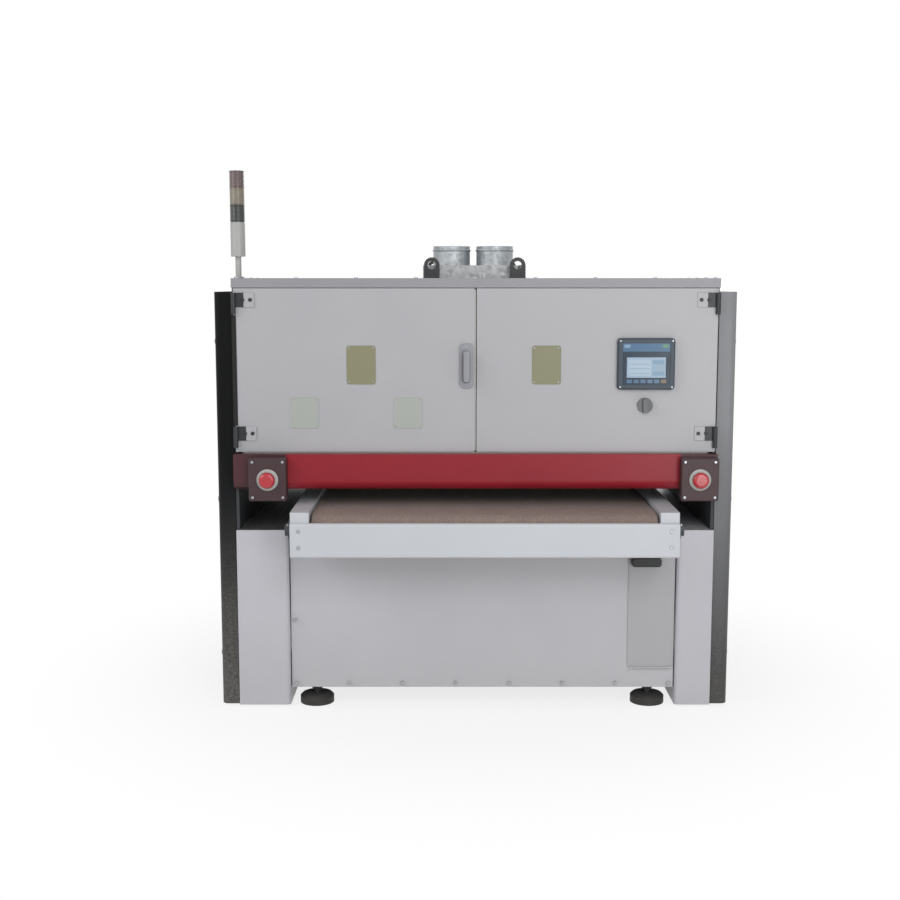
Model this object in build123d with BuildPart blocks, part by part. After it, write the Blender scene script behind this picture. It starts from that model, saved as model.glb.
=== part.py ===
from build123d import *
import os

os.makedirs("parts", exist_ok=True)

# Brush sanding machine, in millimetres. The origin is on the floor under the middle of the machine.
# X runs across the feed, the boards enter from -Y, and Z is up.

# Clearances
running_gap = 0.05  # radial, shaft in its bearing
slide_gap = 0.3  # between pieces that move past each other
hang_gap = 1  # hinged covers off what they close
pass_gap = 5  # radial, shaft through a plate

# Widths, from the middle of the table outwards
table_x = 30  # the table stands right of the cabinet's middle, as the brush drive is on the left
belt_width = 1250
belt_side_gap = 7
rail_width = 68
table_side_gap = 37
right_box_width = 124
frame_plate = 12
side_door_depth = 68

# Brush rollers
brush_diameter = 300
core_diameter = 180
strip_count = 10
finger_count = 16
strip_thickness = 8
finger_slit = 5
strip_root = 13  # depth of the strip's foot in its slot
slot_gap = 0.2  # each side of the strip's foot
strip_stagger = 15  # neighbouring strips are shifted by this, each way
brush_shaft = 50
brush_shoulder = 70
ring_width = 8
ring_rise = 14  # retaining ring above the core
brush_bearing_width = 36
brush_bearing_flange = 14
brush_bearing_plate = 115
brush_bearing_corner = 25
brush_bearing_boss = 85

# Hoods and the walls along the feed
hood_gap = 15
hood_wall = 3
hood_skirt = 60
hood_spacing = 144
hood_guide_gap = 22
cabinet_margin = 40
duct_diameter = 150

# Press rollers and their beams
press_diameter = 90
press_shaft = 20
press_travel = 12
press_beam_width = 50
press_beam_height = 40
press_beam_gap = 14  # roller to beam
press_bracket = 12
press_end_gap = 4
press_roller_inset = 9  # roller end inside the edge of the belt
guide_wall = 15
guide_reach = 50
guide_lip = 10

# Heights
skirt_gap = 8  # base boxes and side plates off the floor
foot_height = 73
belt_top = 785
lift_travel = 45  # the table moves this far up and down
rail_above_belt = 15
rail_height = 140
beam_clearance = 5  # raised rail to the front beam
panel_clearance = 10  # lowered rail to the base panels
press_clearance = 6  # raised belt to the press rollers
brush_clearance = 4  # press rollers to the brushes
front_beam_height = 134
front_beam_depth = 50
beam_lower_radius = 35
beam_upper_radius = 15
door_gap = 6
door_height = 608
door_top_gap = 2
roof_height = 35
side_door_drop = 15  # top of the side doors below the roof

# Sheet and plate
sheet = 3
beam_sheet = 4
box_wall = 4

# Table
table_overhang = 250
belt_thickness = 4
table_roller = 110
roller_shaft = 30
roller_inset = 65  # roller axis from the end of the rails
roller_wall = 8
roller_web = 15
rail_wall = 5
bed_plate = 8
bed_rib = 60
bed_rib_count = 5
bed_roller_gap = 20
cover_drop = 23  # end cover below the belt
cover_height = 126
cover_depth = 15
cover_edge = 9
bearing_width = 25
bearing_flange = 68
bearing_boss = 48
lift_screw = 36
screw_flange = 52
screw_flange_height = 10
jack_diameter = 72
jack_worm = 54  # worm housing, inwards from the screw
jack_motor = 54
jack_motor_length = 144
jack_floor = 5
jack_hold = 45  # least length of screw left in the jack

# Base
cross_beam_width = 100
cross_beam_height = 120
cross_beam_wall = 8
foot_inset = 60
foot_from_box = 95
foot_diameter = 130
foot_pad = 34
foot_edge = 8
foot_stud = 24
foot_nut = 36
foot_nut_height = 19
panel_side_gap = 4
panel_flange = 20
box_proud = 10  # base boxes in front of the cabinet
box_drop = 95  # top of the base boxes below the belt
box_corner = 15

# Doors
door_depth = 20
door_middle_gap = 8
front_knuckle = 18
front_hinge_arm = 6  # arm of the fixed half, beside the door
front_pin = 10
front_hinge_length = 80
front_hinge_inset = 56  # hinge middles from the top and bottom of the door
front_hinge_reach = 76
side_knuckle = 20
side_pin = 12
side_hinge_length = 80
side_hinge_arm = 14
side_hinge_leaf = 6
side_hinge_offset = 25  # hinge pin in from the outside of the door
side_hinge_low = 320
side_hinge_high = 1280
side_door_corner = 25

# Brush drive, on the left side
drive_belt_width = 40
drive_belt_thickness = 5
brush_pulley = 160
brush_pulley_hub = 80
motor_pulley = 120
motor_pulley_hub = 56
pulley_flange = 3
pulley_flange_rise = 8
belt_play = 0.5
pulley_offset = 10  # pulley off the side plate
shelf_plate = 12
shelf_gap = 57  # shelf above the hoods
shelf_margin = 12
motor_height = 112  # shaft above the motor's feet
motor_length = 320
motor_diameter = 196
motor_fin = 10
motor_fin_count = 20
motor_shield = 32
motor_cowl = 64
motor_foot = 14
motor_foot_length = 160
terminal_width = 98
terminal_length = 106
terminal_rise = 137  # top of the terminal box above the shaft
motor_shaft = 28
motor_set_back = 60
motor_seat = 55  # length of shaft inside the motor

# Cooling slots in the rear panel, behind the motors and on the other side
vent_length = 150
vent_width = 9
vent_pitch = 25
vent_column_pitch = 175
vent_rows = 9
vent_columns = 2
vent_spread = 520  # middle of each field from the middle of the panel

# Roof fittings
plenum_width = 400
plenum_height = 50
plenum_margin = 5
plenum_corner = 40
spigot_diameter = 150
spigot_height = 81
spigot_flange = 10
spigot_flange_height = 4
spigot_spacing = 6
eye_plate = 14
eye_width = 60
eye_hole = 32
eye_foot = 50
eye_foot_height = 8
eye_rise = 42
eye_gap = 2
eye_inset = 35  # in from the side of the plenum

# Signal tower, on the left
tower_inset = 19
tower_set_back = 50
tower_foot = 36
tower_foot_height = 6
tower_pole = 22
tower_pole_height = 80
tower_housing = 54
tower_housing_height = 127
lens_diameter = 56
lens_height = 62
lens_groove = 4

# Operator's side
handle_plate_width = 54
handle_plate_height = 165
handle_plate_depth = 6
handle_edge = 3
handle_up = 322  # middle of the plate above the bottom of the door
handle_pivot_up = 45
handle_spindle = 16
lever_length = 120
lever_width = 26
lever_depth = 12
lever_stand = 18
hmi_width = 212
hmi_height = 190
hmi_depth = 22
hmi_edge = 159
hmi_up = 330
hmi_corner = 12
hmi_rim = 18
hmi_recess = 6
screen_thickness = 4
switch_up = 175
switch_diameter = 56
switch_height = 26
switch_grip = 18
switch_grip_length = 53
switch_spindle = 12
estop_box_width = 140
estop_box_height = 160
estop_box_depth = 45
estop_spread = 800  # each stop from the middle of the table
estop_up = 45  # stops above the lower edge of the beam
estop_edge = 8
estop_head = 60
estop_head_height = 20
estop_dome = 12
estop_stem = 22
estop_stroke = 5
estop_stem_seat = 20

# Service hatch
hatch_width = 160
hatch_edge = 14
hatch_up = 92
hatch_down = 15
hatch_lap = 8
hatch_knuckle = 10
hatch_pin = 6
hatch_lug = 10
hatch_handle_width = 112
hatch_handle_height = 36
hatch_handle_reach = 40
hatch_handle_bar = 12
hatch_handle_drop = 20  # middle of the handle below the top of the hatch
hatch_handle_in = 56  # middle of the handle from the left edge of the opening

# Feed gearmotor and control gear
gearbox_width = 100
gearbox_depth = 120
gearbox_above = 60
gearbox_below = 80
gearbox_gap = 2
gearbox_corner = 12
torque_arm = 20
feed_motor_diameter = 120
feed_motor_length = 206
feed_motor_cowl = 52
feed_motor_fin = 9
feed_motor_fin_count = 18
feed_terminal_width = 80
feed_terminal_height = 86
feed_terminal_drop = 22  # top of the terminal box below the gearbox
feed_terminal_rise = 30
device_width = 45
device_depth = 56
device_height = 80
device_columns = 8
device_rows = 3
control_margin = 30
control_up = 70  # control panel above the brush shafts

# Positions across the table, from its own middle
belt_half = belt_width / 2
rail_inner = belt_half + belt_side_gap
rail_outer = rail_inner + rail_width
rail_middle = (rail_inner + rail_outer) / 2
box_inner = rail_outer + table_side_gap

# Positions across the cabinet, from its middle
table_left = table_x - box_inner
table_right = table_x + box_inner
frame_inner = table_right + right_box_width
frame_outer = frame_inner + frame_plate
side_door_inner = frame_outer + hang_gap
side_door_outer = side_door_inner + side_door_depth
door_outer = frame_outer - front_hinge_arm - hang_gap
door_inner = door_middle_gap / 2
table_plane = Plane.YZ.offset(table_x)

# Positions along the feed
hood_radius = brush_diameter / 2 + hood_gap + hood_wall
brush_y = hood_radius + hood_spacing / 2
guide_half = press_beam_width / 2 + guide_wall
press_y = brush_y + hood_radius + hood_guide_gap + guide_half
half_depth = press_y + guide_half + cabinet_margin
table_half = half_depth + table_overhang
roller_y = table_half - roller_inset
foot_y = half_depth - foot_inset
panel_y = foot_y + cross_beam_width / 2
box_front = half_depth + box_proud
door_face = half_depth + door_depth
beam_face = half_depth + front_beam_depth

# Heights above the floor
cross_beam_top = foot_height + cross_beam_height
rail_top = belt_top + rail_above_belt
rail_bottom = rail_top - rail_height
table_roller_z = belt_top - belt_thickness - slide_gap - table_roller / 2
bed_top = belt_top - belt_thickness
box_top = belt_top - box_drop
panel_top = rail_bottom - lift_travel - panel_clearance
beam_bottom = rail_top + lift_travel + beam_clearance
beam_top = beam_bottom + front_beam_height
door_bottom = beam_top + door_gap
door_top = door_bottom + door_height
roof_bottom = door_top + door_top_gap
roof_top = roof_bottom + roof_height
press_z = belt_top + lift_travel + press_clearance + press_diameter / 2
press_beam_bottom = press_z + press_diameter / 2 + press_beam_gap
press_beam_top = press_beam_bottom + press_beam_height
brush_z = press_z - press_diameter / 2 + brush_clearance + brush_diameter / 2
shelf_bottom = brush_z + hood_radius + shelf_gap
shelf_top = shelf_bottom + shelf_plate
motor_z = shelf_top + motor_height
pulley_width = drive_belt_width + 2 * belt_play + 2 * pulley_flange
pulley_inner = frame_outer + pulley_offset
pulley_outer = pulley_inner + pulley_width


def rect_between(u_1, u_2, v_1, v_2, mode=Mode.ADD):
    # A rectangle between two opposite corners in the sketch's plane.
    with Locations(((u_1 + u_2) / 2, (v_1 + v_2) / 2)):
        Rectangle(abs(u_2 - u_1), abs(v_2 - v_1), mode=mode)


# Side plates: they carry the bearings, the shelf, the press guides and every hinge.
with BuildPart() as side_frames:
    with BuildSketch(Plane.YZ.offset(frame_inner)):
        rect_between(-half_depth, half_depth, skirt_gap, roof_bottom)
        with Locations((-brush_y, brush_z), (brush_y, brush_z)):
            Circle(brush_shaft / 2 + pass_gap, mode=Mode.SUBTRACT)
    extrude(amount=frame_plate)
    mirror(about=Plane.YZ)
    with BuildSketch(Plane.YZ.offset(-frame_inner)):  # motor shafts, left plate only
        with Locations((-brush_y, motor_z), (brush_y, motor_z)):
            Circle(motor_shaft / 2 + pass_gap)
    extrude(amount=-frame_plate, mode=Mode.SUBTRACT)
side_frames.part.label = "side_frames"
export_step(side_frames.part, "parts/side_frames.step")

# Base boxes: folded sheet columns, open underneath, rounded by the table, with a lip over the side plate.
box_height = box_top - skirt_gap
with BuildPart() as base_boxes:
    for side, inner in ((-1, -table_left), (1, table_right)):
        corner = (side * inner, -box_front)
        with BuildSketch(Plane.XY.offset(skirt_gap)) as box_outline:
            rect_between(side * inner, side * frame_inner, -box_front, half_depth)
            fillet(box_outline.vertices().sort_by_distance(corner)[0], box_corner)
            rect_between(side * frame_inner, side * frame_outer, -box_front, box_wall - box_front)
        extrude(amount=box_height)
        cavity = (side * (inner + box_wall), box_wall - box_front)
        with BuildSketch(Plane.XY.offset(skirt_gap)) as box_inside:
            rect_between(cavity[0], side * (frame_inner - box_wall), cavity[1], half_depth - box_wall)
            fillet(box_inside.vertices().sort_by_distance(cavity)[0], box_corner - box_wall)
        extrude(amount=box_height - box_wall, mode=Mode.SUBTRACT)
base_boxes.part.label = "base_boxes"
export_step(base_boxes.part, "parts/base_boxes.step")

# Cross beams: box section between the base boxes, on the feet and under the jacks.
with BuildPart() as cross_beams:
    with BuildSketch(Plane.YZ.offset(table_left)):
        with Locations((foot_y, foot_height + cross_beam_height / 2)):
            Rectangle(cross_beam_width, cross_beam_height)
            Rectangle(
                cross_beam_width - 2 * cross_beam_wall,
                cross_beam_height - 2 * cross_beam_wall,
                mode=Mode.SUBTRACT,
            )
    extrude(amount=2 * box_inner)
    mirror(about=Plane.XZ)
cross_beams.part.label = "cross_beams"
export_step(cross_beams.part, "parts/cross_beams.step")

# Levelling feet: a rubber pad, its stud and a nut under the beam.
foot_x = table_right - foot_from_box
with BuildPart() as levelling_feet:
    with BuildSketch(Plane.XZ.offset(-foot_y)):
        with BuildLine():
            Polyline(
                (foot_x, 0),
                (foot_x + foot_diameter / 2, 0),
                (foot_x + foot_diameter / 2, foot_pad - foot_edge),
                (foot_x + foot_diameter / 2 - foot_edge, foot_pad),
                (foot_x + foot_stud / 2, foot_pad),
                (foot_x + foot_stud / 2, foot_height),
                (foot_x, foot_height),
                close=True,
            )
        make_face()
    revolve(axis=Axis((foot_x, foot_y, 0), (0, 0, 1)))
    with BuildSketch(Plane.XY.offset(foot_height)):
        with Locations((foot_x, foot_y)):
            RegularPolygon(foot_nut / 2, 6, major_radius=False)
    extrude(amount=-foot_nut_height)
    mirror(about=table_plane)
    mirror(about=Plane.XZ)
levelling_feet.part.label = "levelling_feet"
export_step(levelling_feet.part, "parts/levelling_feet.step")

# Base panels between the columns, with a folded top edge. The front one has the hatch opening.
panel_left = table_left + panel_side_gap
panel_right = table_right - panel_side_gap
hatch_right = table_right - hatch_edge
hatch_left = hatch_right - hatch_width
hatch_bottom = foot_height + hatch_up
hatch_top = panel_top - hatch_down
hatch_axis_y = -(panel_y + sheet + hatch_knuckle / 2 + hang_gap)
hatch_axis_z = hatch_bottom - hatch_lap - hatch_knuckle / 2 - hang_gap
with BuildPart() as base_front_panel:
    with BuildSketch(Plane.XZ.offset(panel_y)):
        rect_between(panel_left, panel_right, foot_height, panel_top)
        rect_between(hatch_left, hatch_right, hatch_bottom, hatch_top, mode=Mode.SUBTRACT)
    extrude(amount=sheet)
    with BuildSketch(Plane.XZ.offset(panel_y)):
        rect_between(panel_left, panel_right, panel_top - sheet, panel_top)
    extrude(amount=-panel_flange)
    for lug_x in (hatch_left, hatch_right - hatch_lug):  # lugs that carry the hatch's pins
        with BuildSketch(Plane.YZ.offset(lug_x)):
            with Locations((hatch_axis_y, hatch_axis_z)):
                Circle(hatch_knuckle / 2)
            rect_between(
                hatch_axis_y,
                -(panel_y + sheet),
                hatch_axis_z - hatch_knuckle / 2,
                hatch_axis_z + hatch_knuckle / 2,
            )
            with Locations((hatch_axis_y, hatch_axis_z)):
                Circle(hatch_pin / 2 + running_gap, mode=Mode.SUBTRACT)
        extrude(amount=hatch_lug)
base_front_panel.part.label = "base_front_panel"
export_step(base_front_panel.part, "parts/base_front_panel.step")

with BuildPart() as base_rear_panel:
    with BuildSketch(Plane.XZ.offset(-panel_y)):
        rect_between(panel_left, panel_right, foot_height, panel_top)
    extrude(amount=-sheet)
    with BuildSketch(Plane.XZ.offset(-panel_y)):
        rect_between(panel_left, panel_right, panel_top - sheet, panel_top)
    extrude(amount=panel_flange)
base_rear_panel.part.label = "base_rear_panel"
export_step(base_rear_panel.part, "parts/base_rear_panel.step")

# Roof: a folded pan on the side plates, open below, with a hole for each duct.
with BuildPart() as roof_panel:
    with BuildSketch(Plane.XY.offset(roof_bottom)):
        rect_between(-frame_outer, frame_outer, -door_face, half_depth)
    extrude(amount=roof_height)
    offset(amount=-sheet, openings=roof_panel.faces().sort_by(Axis.Z)[0])
    with BuildSketch(Plane.XY.offset(roof_top)):
        with Locations((0, -brush_y), (0, brush_y)):
            Circle(duct_diameter / 2 + slide_gap)
    extrude(amount=-sheet, mode=Mode.SUBTRACT)
roof_panel.part.label = "roof_panel"
export_step(roof_panel.part, "parts/roof_panel.step")

# Front beam over the throat: a formed cover, rounder at its lower edge, open at the back.
with BuildPart() as front_beam:
    with BuildSketch(Plane.YZ.offset(-frame_outer)) as beam_outline:
        rect_between(-beam_face, -half_depth, beam_bottom, beam_top)
        front_corners = beam_outline.vertices().group_by(Axis.X)[0].sort_by(Axis.Y)
        fillet(front_corners[0], beam_lower_radius)
        fillet(front_corners[1], beam_upper_radius)
    extrude(amount=2 * frame_outer)
    offset(amount=-beam_sheet, openings=front_beam.faces().sort_by(Axis.Y)[-1])
front_beam.part.label = "front_beam"
export_step(front_beam.part, "parts/front_beam.step")

# Upper rear panel, from over the outfeed to the roof, with a folded lower edge and two fields of slots.
with BuildPart() as rear_panel:
    with BuildSketch(Plane.XZ.offset(-half_depth)):
        rect_between(-frame_inner, frame_inner, beam_bottom, roof_bottom)
        with Locations((-vent_spread, motor_z), (vent_spread, motor_z)):
            with GridLocations(vent_column_pitch, vent_pitch, vent_columns, vent_rows):
                SlotOverall(vent_length, vent_width, mode=Mode.SUBTRACT)
    extrude(amount=sheet)
    with BuildSketch(Plane.XZ.offset(-half_depth)):
        rect_between(-frame_inner, frame_inner, beam_bottom, beam_bottom + sheet)
    extrude(amount=panel_flange)
rear_panel.part.label = "rear_panel"
export_step(rear_panel.part, "parts/rear_panel.step")

# Shelf for the brush motors, with holes for the ducts.
shelf_half = brush_y + hood_radius + shelf_margin
with BuildPart() as motor_shelf:
    with BuildSketch(Plane.XY.offset(shelf_bottom)):
        Rectangle(2 * frame_inner, 2 * shelf_half)
        with Locations((0, -brush_y), (0, brush_y)):
            Circle(duct_diameter / 2 + slide_gap, mode=Mode.SUBTRACT)
    extrude(amount=shelf_plate)
motor_shelf.part.label = "motor_shelf"
export_step(motor_shelf.part, "parts/motor_shelf.step")

# Brush motors: finned body, end shield, fan cowl, feet and terminal box, shaft towards the left plate.
motor_face = -(frame_inner - motor_set_back)
motor_radius = motor_diameter / 2
terminal_half = terminal_width / 2
with BuildPart() as brush_motors:
    with BuildSketch(Plane.YZ.offset(motor_face)):
        with Locations((brush_y, motor_z)):
            Circle(motor_radius)
    extrude(amount=motor_shield)
    with BuildSketch(Plane.YZ.offset(motor_face + motor_length - motor_cowl)):
        with Locations((brush_y, motor_z)):
            Circle(motor_radius)
    extrude(amount=motor_cowl)
    with BuildSketch(Plane.YZ.offset(motor_face + motor_shield)):
        with Locations((brush_y, motor_z)):
            Circle(motor_radius - motor_fin)
            with PolarLocations(motor_radius - motor_fin, motor_fin_count):
                Rectangle(2 * motor_fin, motor_fin / 2)
    extrude(amount=motor_length - motor_shield - motor_cowl)
    with BuildSketch(Plane.YZ.offset(motor_face + motor_shield)):
        rect_between(brush_y - motor_radius, brush_y + motor_radius, shelf_top, shelf_top + motor_foot)
        rect_between(brush_y - motor_radius / 2, brush_y + motor_radius / 2, shelf_top, motor_z)
    extrude(amount=motor_foot_length)
    with BuildSketch(Plane.YZ.offset(motor_face + 2 * motor_shield)):
        rect_between(brush_y - terminal_half, brush_y + terminal_half, motor_z, motor_z + terminal_rise)
    extrude(amount=terminal_length)
    with BuildSketch(Plane.YZ.offset(motor_face)):
        with Locations((brush_y, motor_z)):
            Circle(motor_shaft / 2 + running_gap)
    extrude(amount=motor_seat + pass_gap, mode=Mode.SUBTRACT)
    mirror(about=Plane.XZ)
brush_motors.part.label = "brush_motors"
export_step(brush_motors.part, "parts/brush_motors.step")

# Brush hoods: an arch over each brush, from plate to plate, with a duct up through the shelf to the roof.
hood_inside = hood_radius - hood_wall
hood_front = brush_y - hood_radius
hood_rear = brush_y + hood_radius
duct_radius = duct_diameter / 2
with BuildPart() as brush_hoods:
    with BuildSketch(Plane.YZ.offset(-frame_inner)):
        with Locations((brush_y, brush_z)):
            Circle(hood_radius)
        rect_between(hood_front, hood_rear, brush_z - hood_radius, brush_z, mode=Mode.SUBTRACT)
        rect_between(hood_front, hood_rear, brush_z - hood_skirt, brush_z)
    extrude(amount=2 * frame_inner)
    with BuildSketch(Plane.XY.offset(brush_z)):
        with Locations((0, brush_y)):
            Circle(duct_radius)
    extrude(amount=roof_top - brush_z)
    with BuildSketch(Plane.YZ.offset(-frame_inner)):
        with Locations((brush_y, brush_z)):
            Circle(hood_inside)
        rect_between(brush_y - hood_inside, brush_y + hood_inside, brush_z - hood_skirt, brush_z)
    extrude(amount=2 * frame_inner, mode=Mode.SUBTRACT)
    with BuildSketch(Plane.XY.offset(brush_z)):
        with Locations((0, brush_y)):
            Circle(duct_radius - hood_wall)
    extrude(amount=roof_top - brush_z, mode=Mode.SUBTRACT)
    mirror(about=Plane.XZ)
brush_hoods.part.label = "brush_hoods"
export_step(brush_hoods.part, "parts/brush_hoods.step")

# Dust plenum on the roof: a low pan over both ducts, with the bores of the two spigots in its top.
spigot_radius = spigot_diameter / 2
spigot_x = spigot_radius + spigot_flange + spigot_spacing / 2
plenum_half = brush_y + duct_radius + hood_wall + plenum_margin
with BuildPart() as dust_plenum:
    with BuildSketch(Plane.XY.offset(roof_top)):
        RectangleRounded(plenum_width, 2 * plenum_half, plenum_corner)
    extrude(amount=plenum_height)
    offset(amount=-sheet, openings=dust_plenum.faces().sort_by(Axis.Z)[0])
    with BuildSketch(Plane.XY.offset(roof_top + plenum_height)):
        with Locations((-spigot_x, 0), (spigot_x, 0)):
            Circle(spigot_radius - sheet)
    extrude(amount=-sheet, mode=Mode.SUBTRACT)
dust_plenum.part.label = "dust_plenum"
export_step(dust_plenum.part, "parts/dust_plenum.step")

# Dust spigots: a flange and a plain collar for the hose.
spigot_base = roof_top + plenum_height
with BuildPart() as dust_spigots:
    with BuildSketch(Plane.XY.offset(spigot_base)):
        with Locations((spigot_x, 0)):
            Circle(spigot_radius + spigot_flange)
    extrude(amount=spigot_flange_height)
    with BuildSketch(Plane.XY.offset(spigot_base)):
        with Locations((spigot_x, 0)):
            Circle(spigot_radius)
    extrude(amount=spigot_height)
    with BuildSketch(Plane.XY.offset(spigot_base)):
        with Locations((spigot_x, 0)):
            Circle(spigot_radius - sheet)
    extrude(amount=spigot_height, mode=Mode.SUBTRACT)
    mirror(about=Plane.YZ)
dust_spigots.part.label = "dust_spigots"
export_step(dust_spigots.part, "parts/dust_spigots.step")

# Lifting eyes in front of the plenum and behind it.
eye_x = plenum_width / 2 - eye_inset
eye_y = plenum_half + eye_gap + eye_foot / 2
eye_z = roof_top + eye_foot_height + eye_rise
with BuildPart() as lifting_eyes:
    with BuildSketch(Plane.XY.offset(roof_top)):
        with Locations((eye_x, eye_y)):
            Rectangle(eye_width, eye_foot)
    extrude(amount=eye_foot_height)
    with BuildSketch(Plane.XZ.offset(-eye_y - eye_plate / 2)):
        with Locations((eye_x, eye_z)):
            Circle(eye_width / 2)
        rect_between(eye_x - eye_width / 2, eye_x + eye_width / 2, roof_top, eye_z)
        with Locations((eye_x, eye_z)):
            Circle(eye_hole / 2, mode=Mode.SUBTRACT)
    extrude(amount=eye_plate)
    mirror(about=Plane.YZ)
    mirror(about=Plane.XZ)
lifting_eyes.part.label = "lifting_eyes"
export_step(lifting_eyes.part, "parts/lifting_eyes.step")

# Drive belts: a loop round each pair of pulleys, just off their rims.
belt_plane = Plane.YZ.offset(-pulley_outer + pulley_flange + belt_play)
with BuildPart() as drive_belts:
    for wall, mode in ((drive_belt_thickness, Mode.ADD), (0, Mode.SUBTRACT)):
        with BuildSketch(belt_plane):
            with Locations((brush_y, brush_z)):
                Circle(brush_pulley / 2 + slide_gap + wall)
            with Locations((brush_y, motor_z)):
                Circle(motor_pulley / 2 + slide_gap + wall)
            make_hull()
        extrude(amount=drive_belt_width, mode=mode)
    mirror(about=Plane.XZ)
drive_belts.part.label = "drive_belts"
export_step(drive_belts.part, "parts/drive_belts.step")

# Brush bearings: a flange and a boss on the inside of each plate.
with BuildPart() as brush_bearings:
    with BuildSketch(Plane.YZ.offset(frame_inner)):
        with Locations((brush_y, brush_z)):
            RectangleRounded(brush_bearing_plate, brush_bearing_plate, brush_bearing_corner)
            Circle(brush_shaft / 2 + running_gap, mode=Mode.SUBTRACT)
    extrude(amount=-brush_bearing_flange)
    with BuildSketch(Plane.YZ.offset(frame_inner)):
        with Locations((brush_y, brush_z)):
            Circle(brush_bearing_boss / 2)
            Circle(brush_shaft / 2 + running_gap, mode=Mode.SUBTRACT)
    extrude(amount=-brush_bearing_width)
    mirror(about=Plane.YZ)
    mirror(about=Plane.XZ)
brush_bearings.part.label = "brush_bearings"
export_step(brush_bearings.part, "parts/brush_bearings.step")

# Lift jacks: a blind tube for the screw, a worm housing and its motor, on the cross beams.
lift_x = table_x + rail_middle
jack_radius = jack_diameter / 2
jack_bore_depth = 2 * lift_travel + jack_hold
jack_height = jack_bore_depth + jack_floor
worm_height = jack_height / 2
with BuildPart() as lift_jacks:
    with BuildSketch(Plane.XY.offset(cross_beam_top)):
        with Locations((lift_x, foot_y)):
            Circle(jack_radius)
    extrude(amount=jack_height)
    with BuildSketch(Plane.XY.offset(cross_beam_top)):
        rect_between(lift_x - jack_worm, lift_x, foot_y - jack_radius, foot_y + jack_radius)
    extrude(amount=worm_height)
    with BuildSketch(Plane.YZ.offset(lift_x - jack_radius)):
        with Locations((foot_y, cross_beam_top + worm_height / 2)):
            Circle(jack_motor / 2)
    extrude(amount=-jack_motor_length)
    with BuildSketch(Plane.XY.offset(cross_beam_top + jack_height)):
        with Locations((lift_x, foot_y)):
            Circle(lift_screw / 2 + running_gap)
    extrude(amount=-jack_bore_depth, mode=Mode.SUBTRACT)
    mirror(about=table_plane)
    mirror(about=Plane.XZ)
lift_jacks.part.label = "lift_jacks"
export_step(lift_jacks.part, "parts/lift_jacks.step")

# Press guides: channels on the side plates, each with a stop under the beam's end.
guide_face = frame_inner - guide_lip
guide_bottom = press_beam_bottom - slide_gap - guide_lip
guide_top = press_beam_top + press_travel + guide_lip
press_half = press_beam_width / 2 + slide_gap
with BuildPart() as press_guides:
    with BuildSketch(Plane.XY.offset(guide_bottom)):
        rect_between(frame_inner - guide_reach, frame_inner, press_y - guide_half, press_y + guide_half)
    extrude(amount=guide_top - guide_bottom)
    with BuildSketch(Plane.XY.offset(guide_bottom + guide_lip)):
        rect_between(frame_inner - guide_reach, guide_face, press_y - press_half, press_y + press_half)
    extrude(amount=guide_top - guide_bottom, mode=Mode.SUBTRACT)
    mirror(about=Plane.YZ)
    mirror(about=Plane.XZ)
press_guides.part.label = "press_guides"
export_step(press_guides.part, "parts/press_guides.step")

# Press beams and rollers: each beam floats up in its guides and holds its roller in two brackets.
press_roller_half = belt_half - press_roller_inset
bracket_inner = press_roller_half + press_end_gap
bracket_outer = bracket_inner + press_bracket
for end, sign in (("infeed", -1), ("outfeed", 1)):
    with BuildPart() as press_beam:
        with BuildSketch(Plane.XY.offset(press_beam_bottom)):
            with Locations((0, sign * press_y)):
                Rectangle(2 * (guide_face - slide_gap), press_beam_width)
        extrude(amount=press_beam_height)
        for bracket_x in (table_x - bracket_outer, table_x + bracket_inner):
            with BuildSketch(Plane.YZ.offset(bracket_x)):
                with Locations((sign * press_y, press_z)):
                    Circle(press_shaft)
                rect_between(
                    sign * press_y - press_shaft,
                    sign * press_y + press_shaft,
                    press_z,
                    press_beam_bottom,
                )
                with Locations((sign * press_y, press_z)):
                    Circle(press_shaft / 2 + running_gap, mode=Mode.SUBTRACT)
            extrude(amount=press_bracket)
    press_beam.part.label = f"{end}_press_beam"
    export_step(press_beam.part, f"parts/{end}_press_beam.step")

    with BuildPart() as press_roller:
        with BuildSketch(Plane.YZ.offset(table_x - press_roller_half)):
            with Locations((sign * press_y, press_z)):
                Circle(press_diameter / 2)
        extrude(amount=2 * press_roller_half)
        fillet(press_roller.edges().filter_by(GeomType.CIRCLE), press_end_gap)
        with BuildSketch(Plane.YZ.offset(table_x - bracket_outer)):
            with Locations((sign * press_y, press_z)):
                Circle(press_shaft / 2)
        extrude(amount=2 * bracket_outer)
    press_roller.part.label = f"{end}_press_roller"
    export_step(press_roller.part, f"parts/{end}_press_roller.step")

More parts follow.
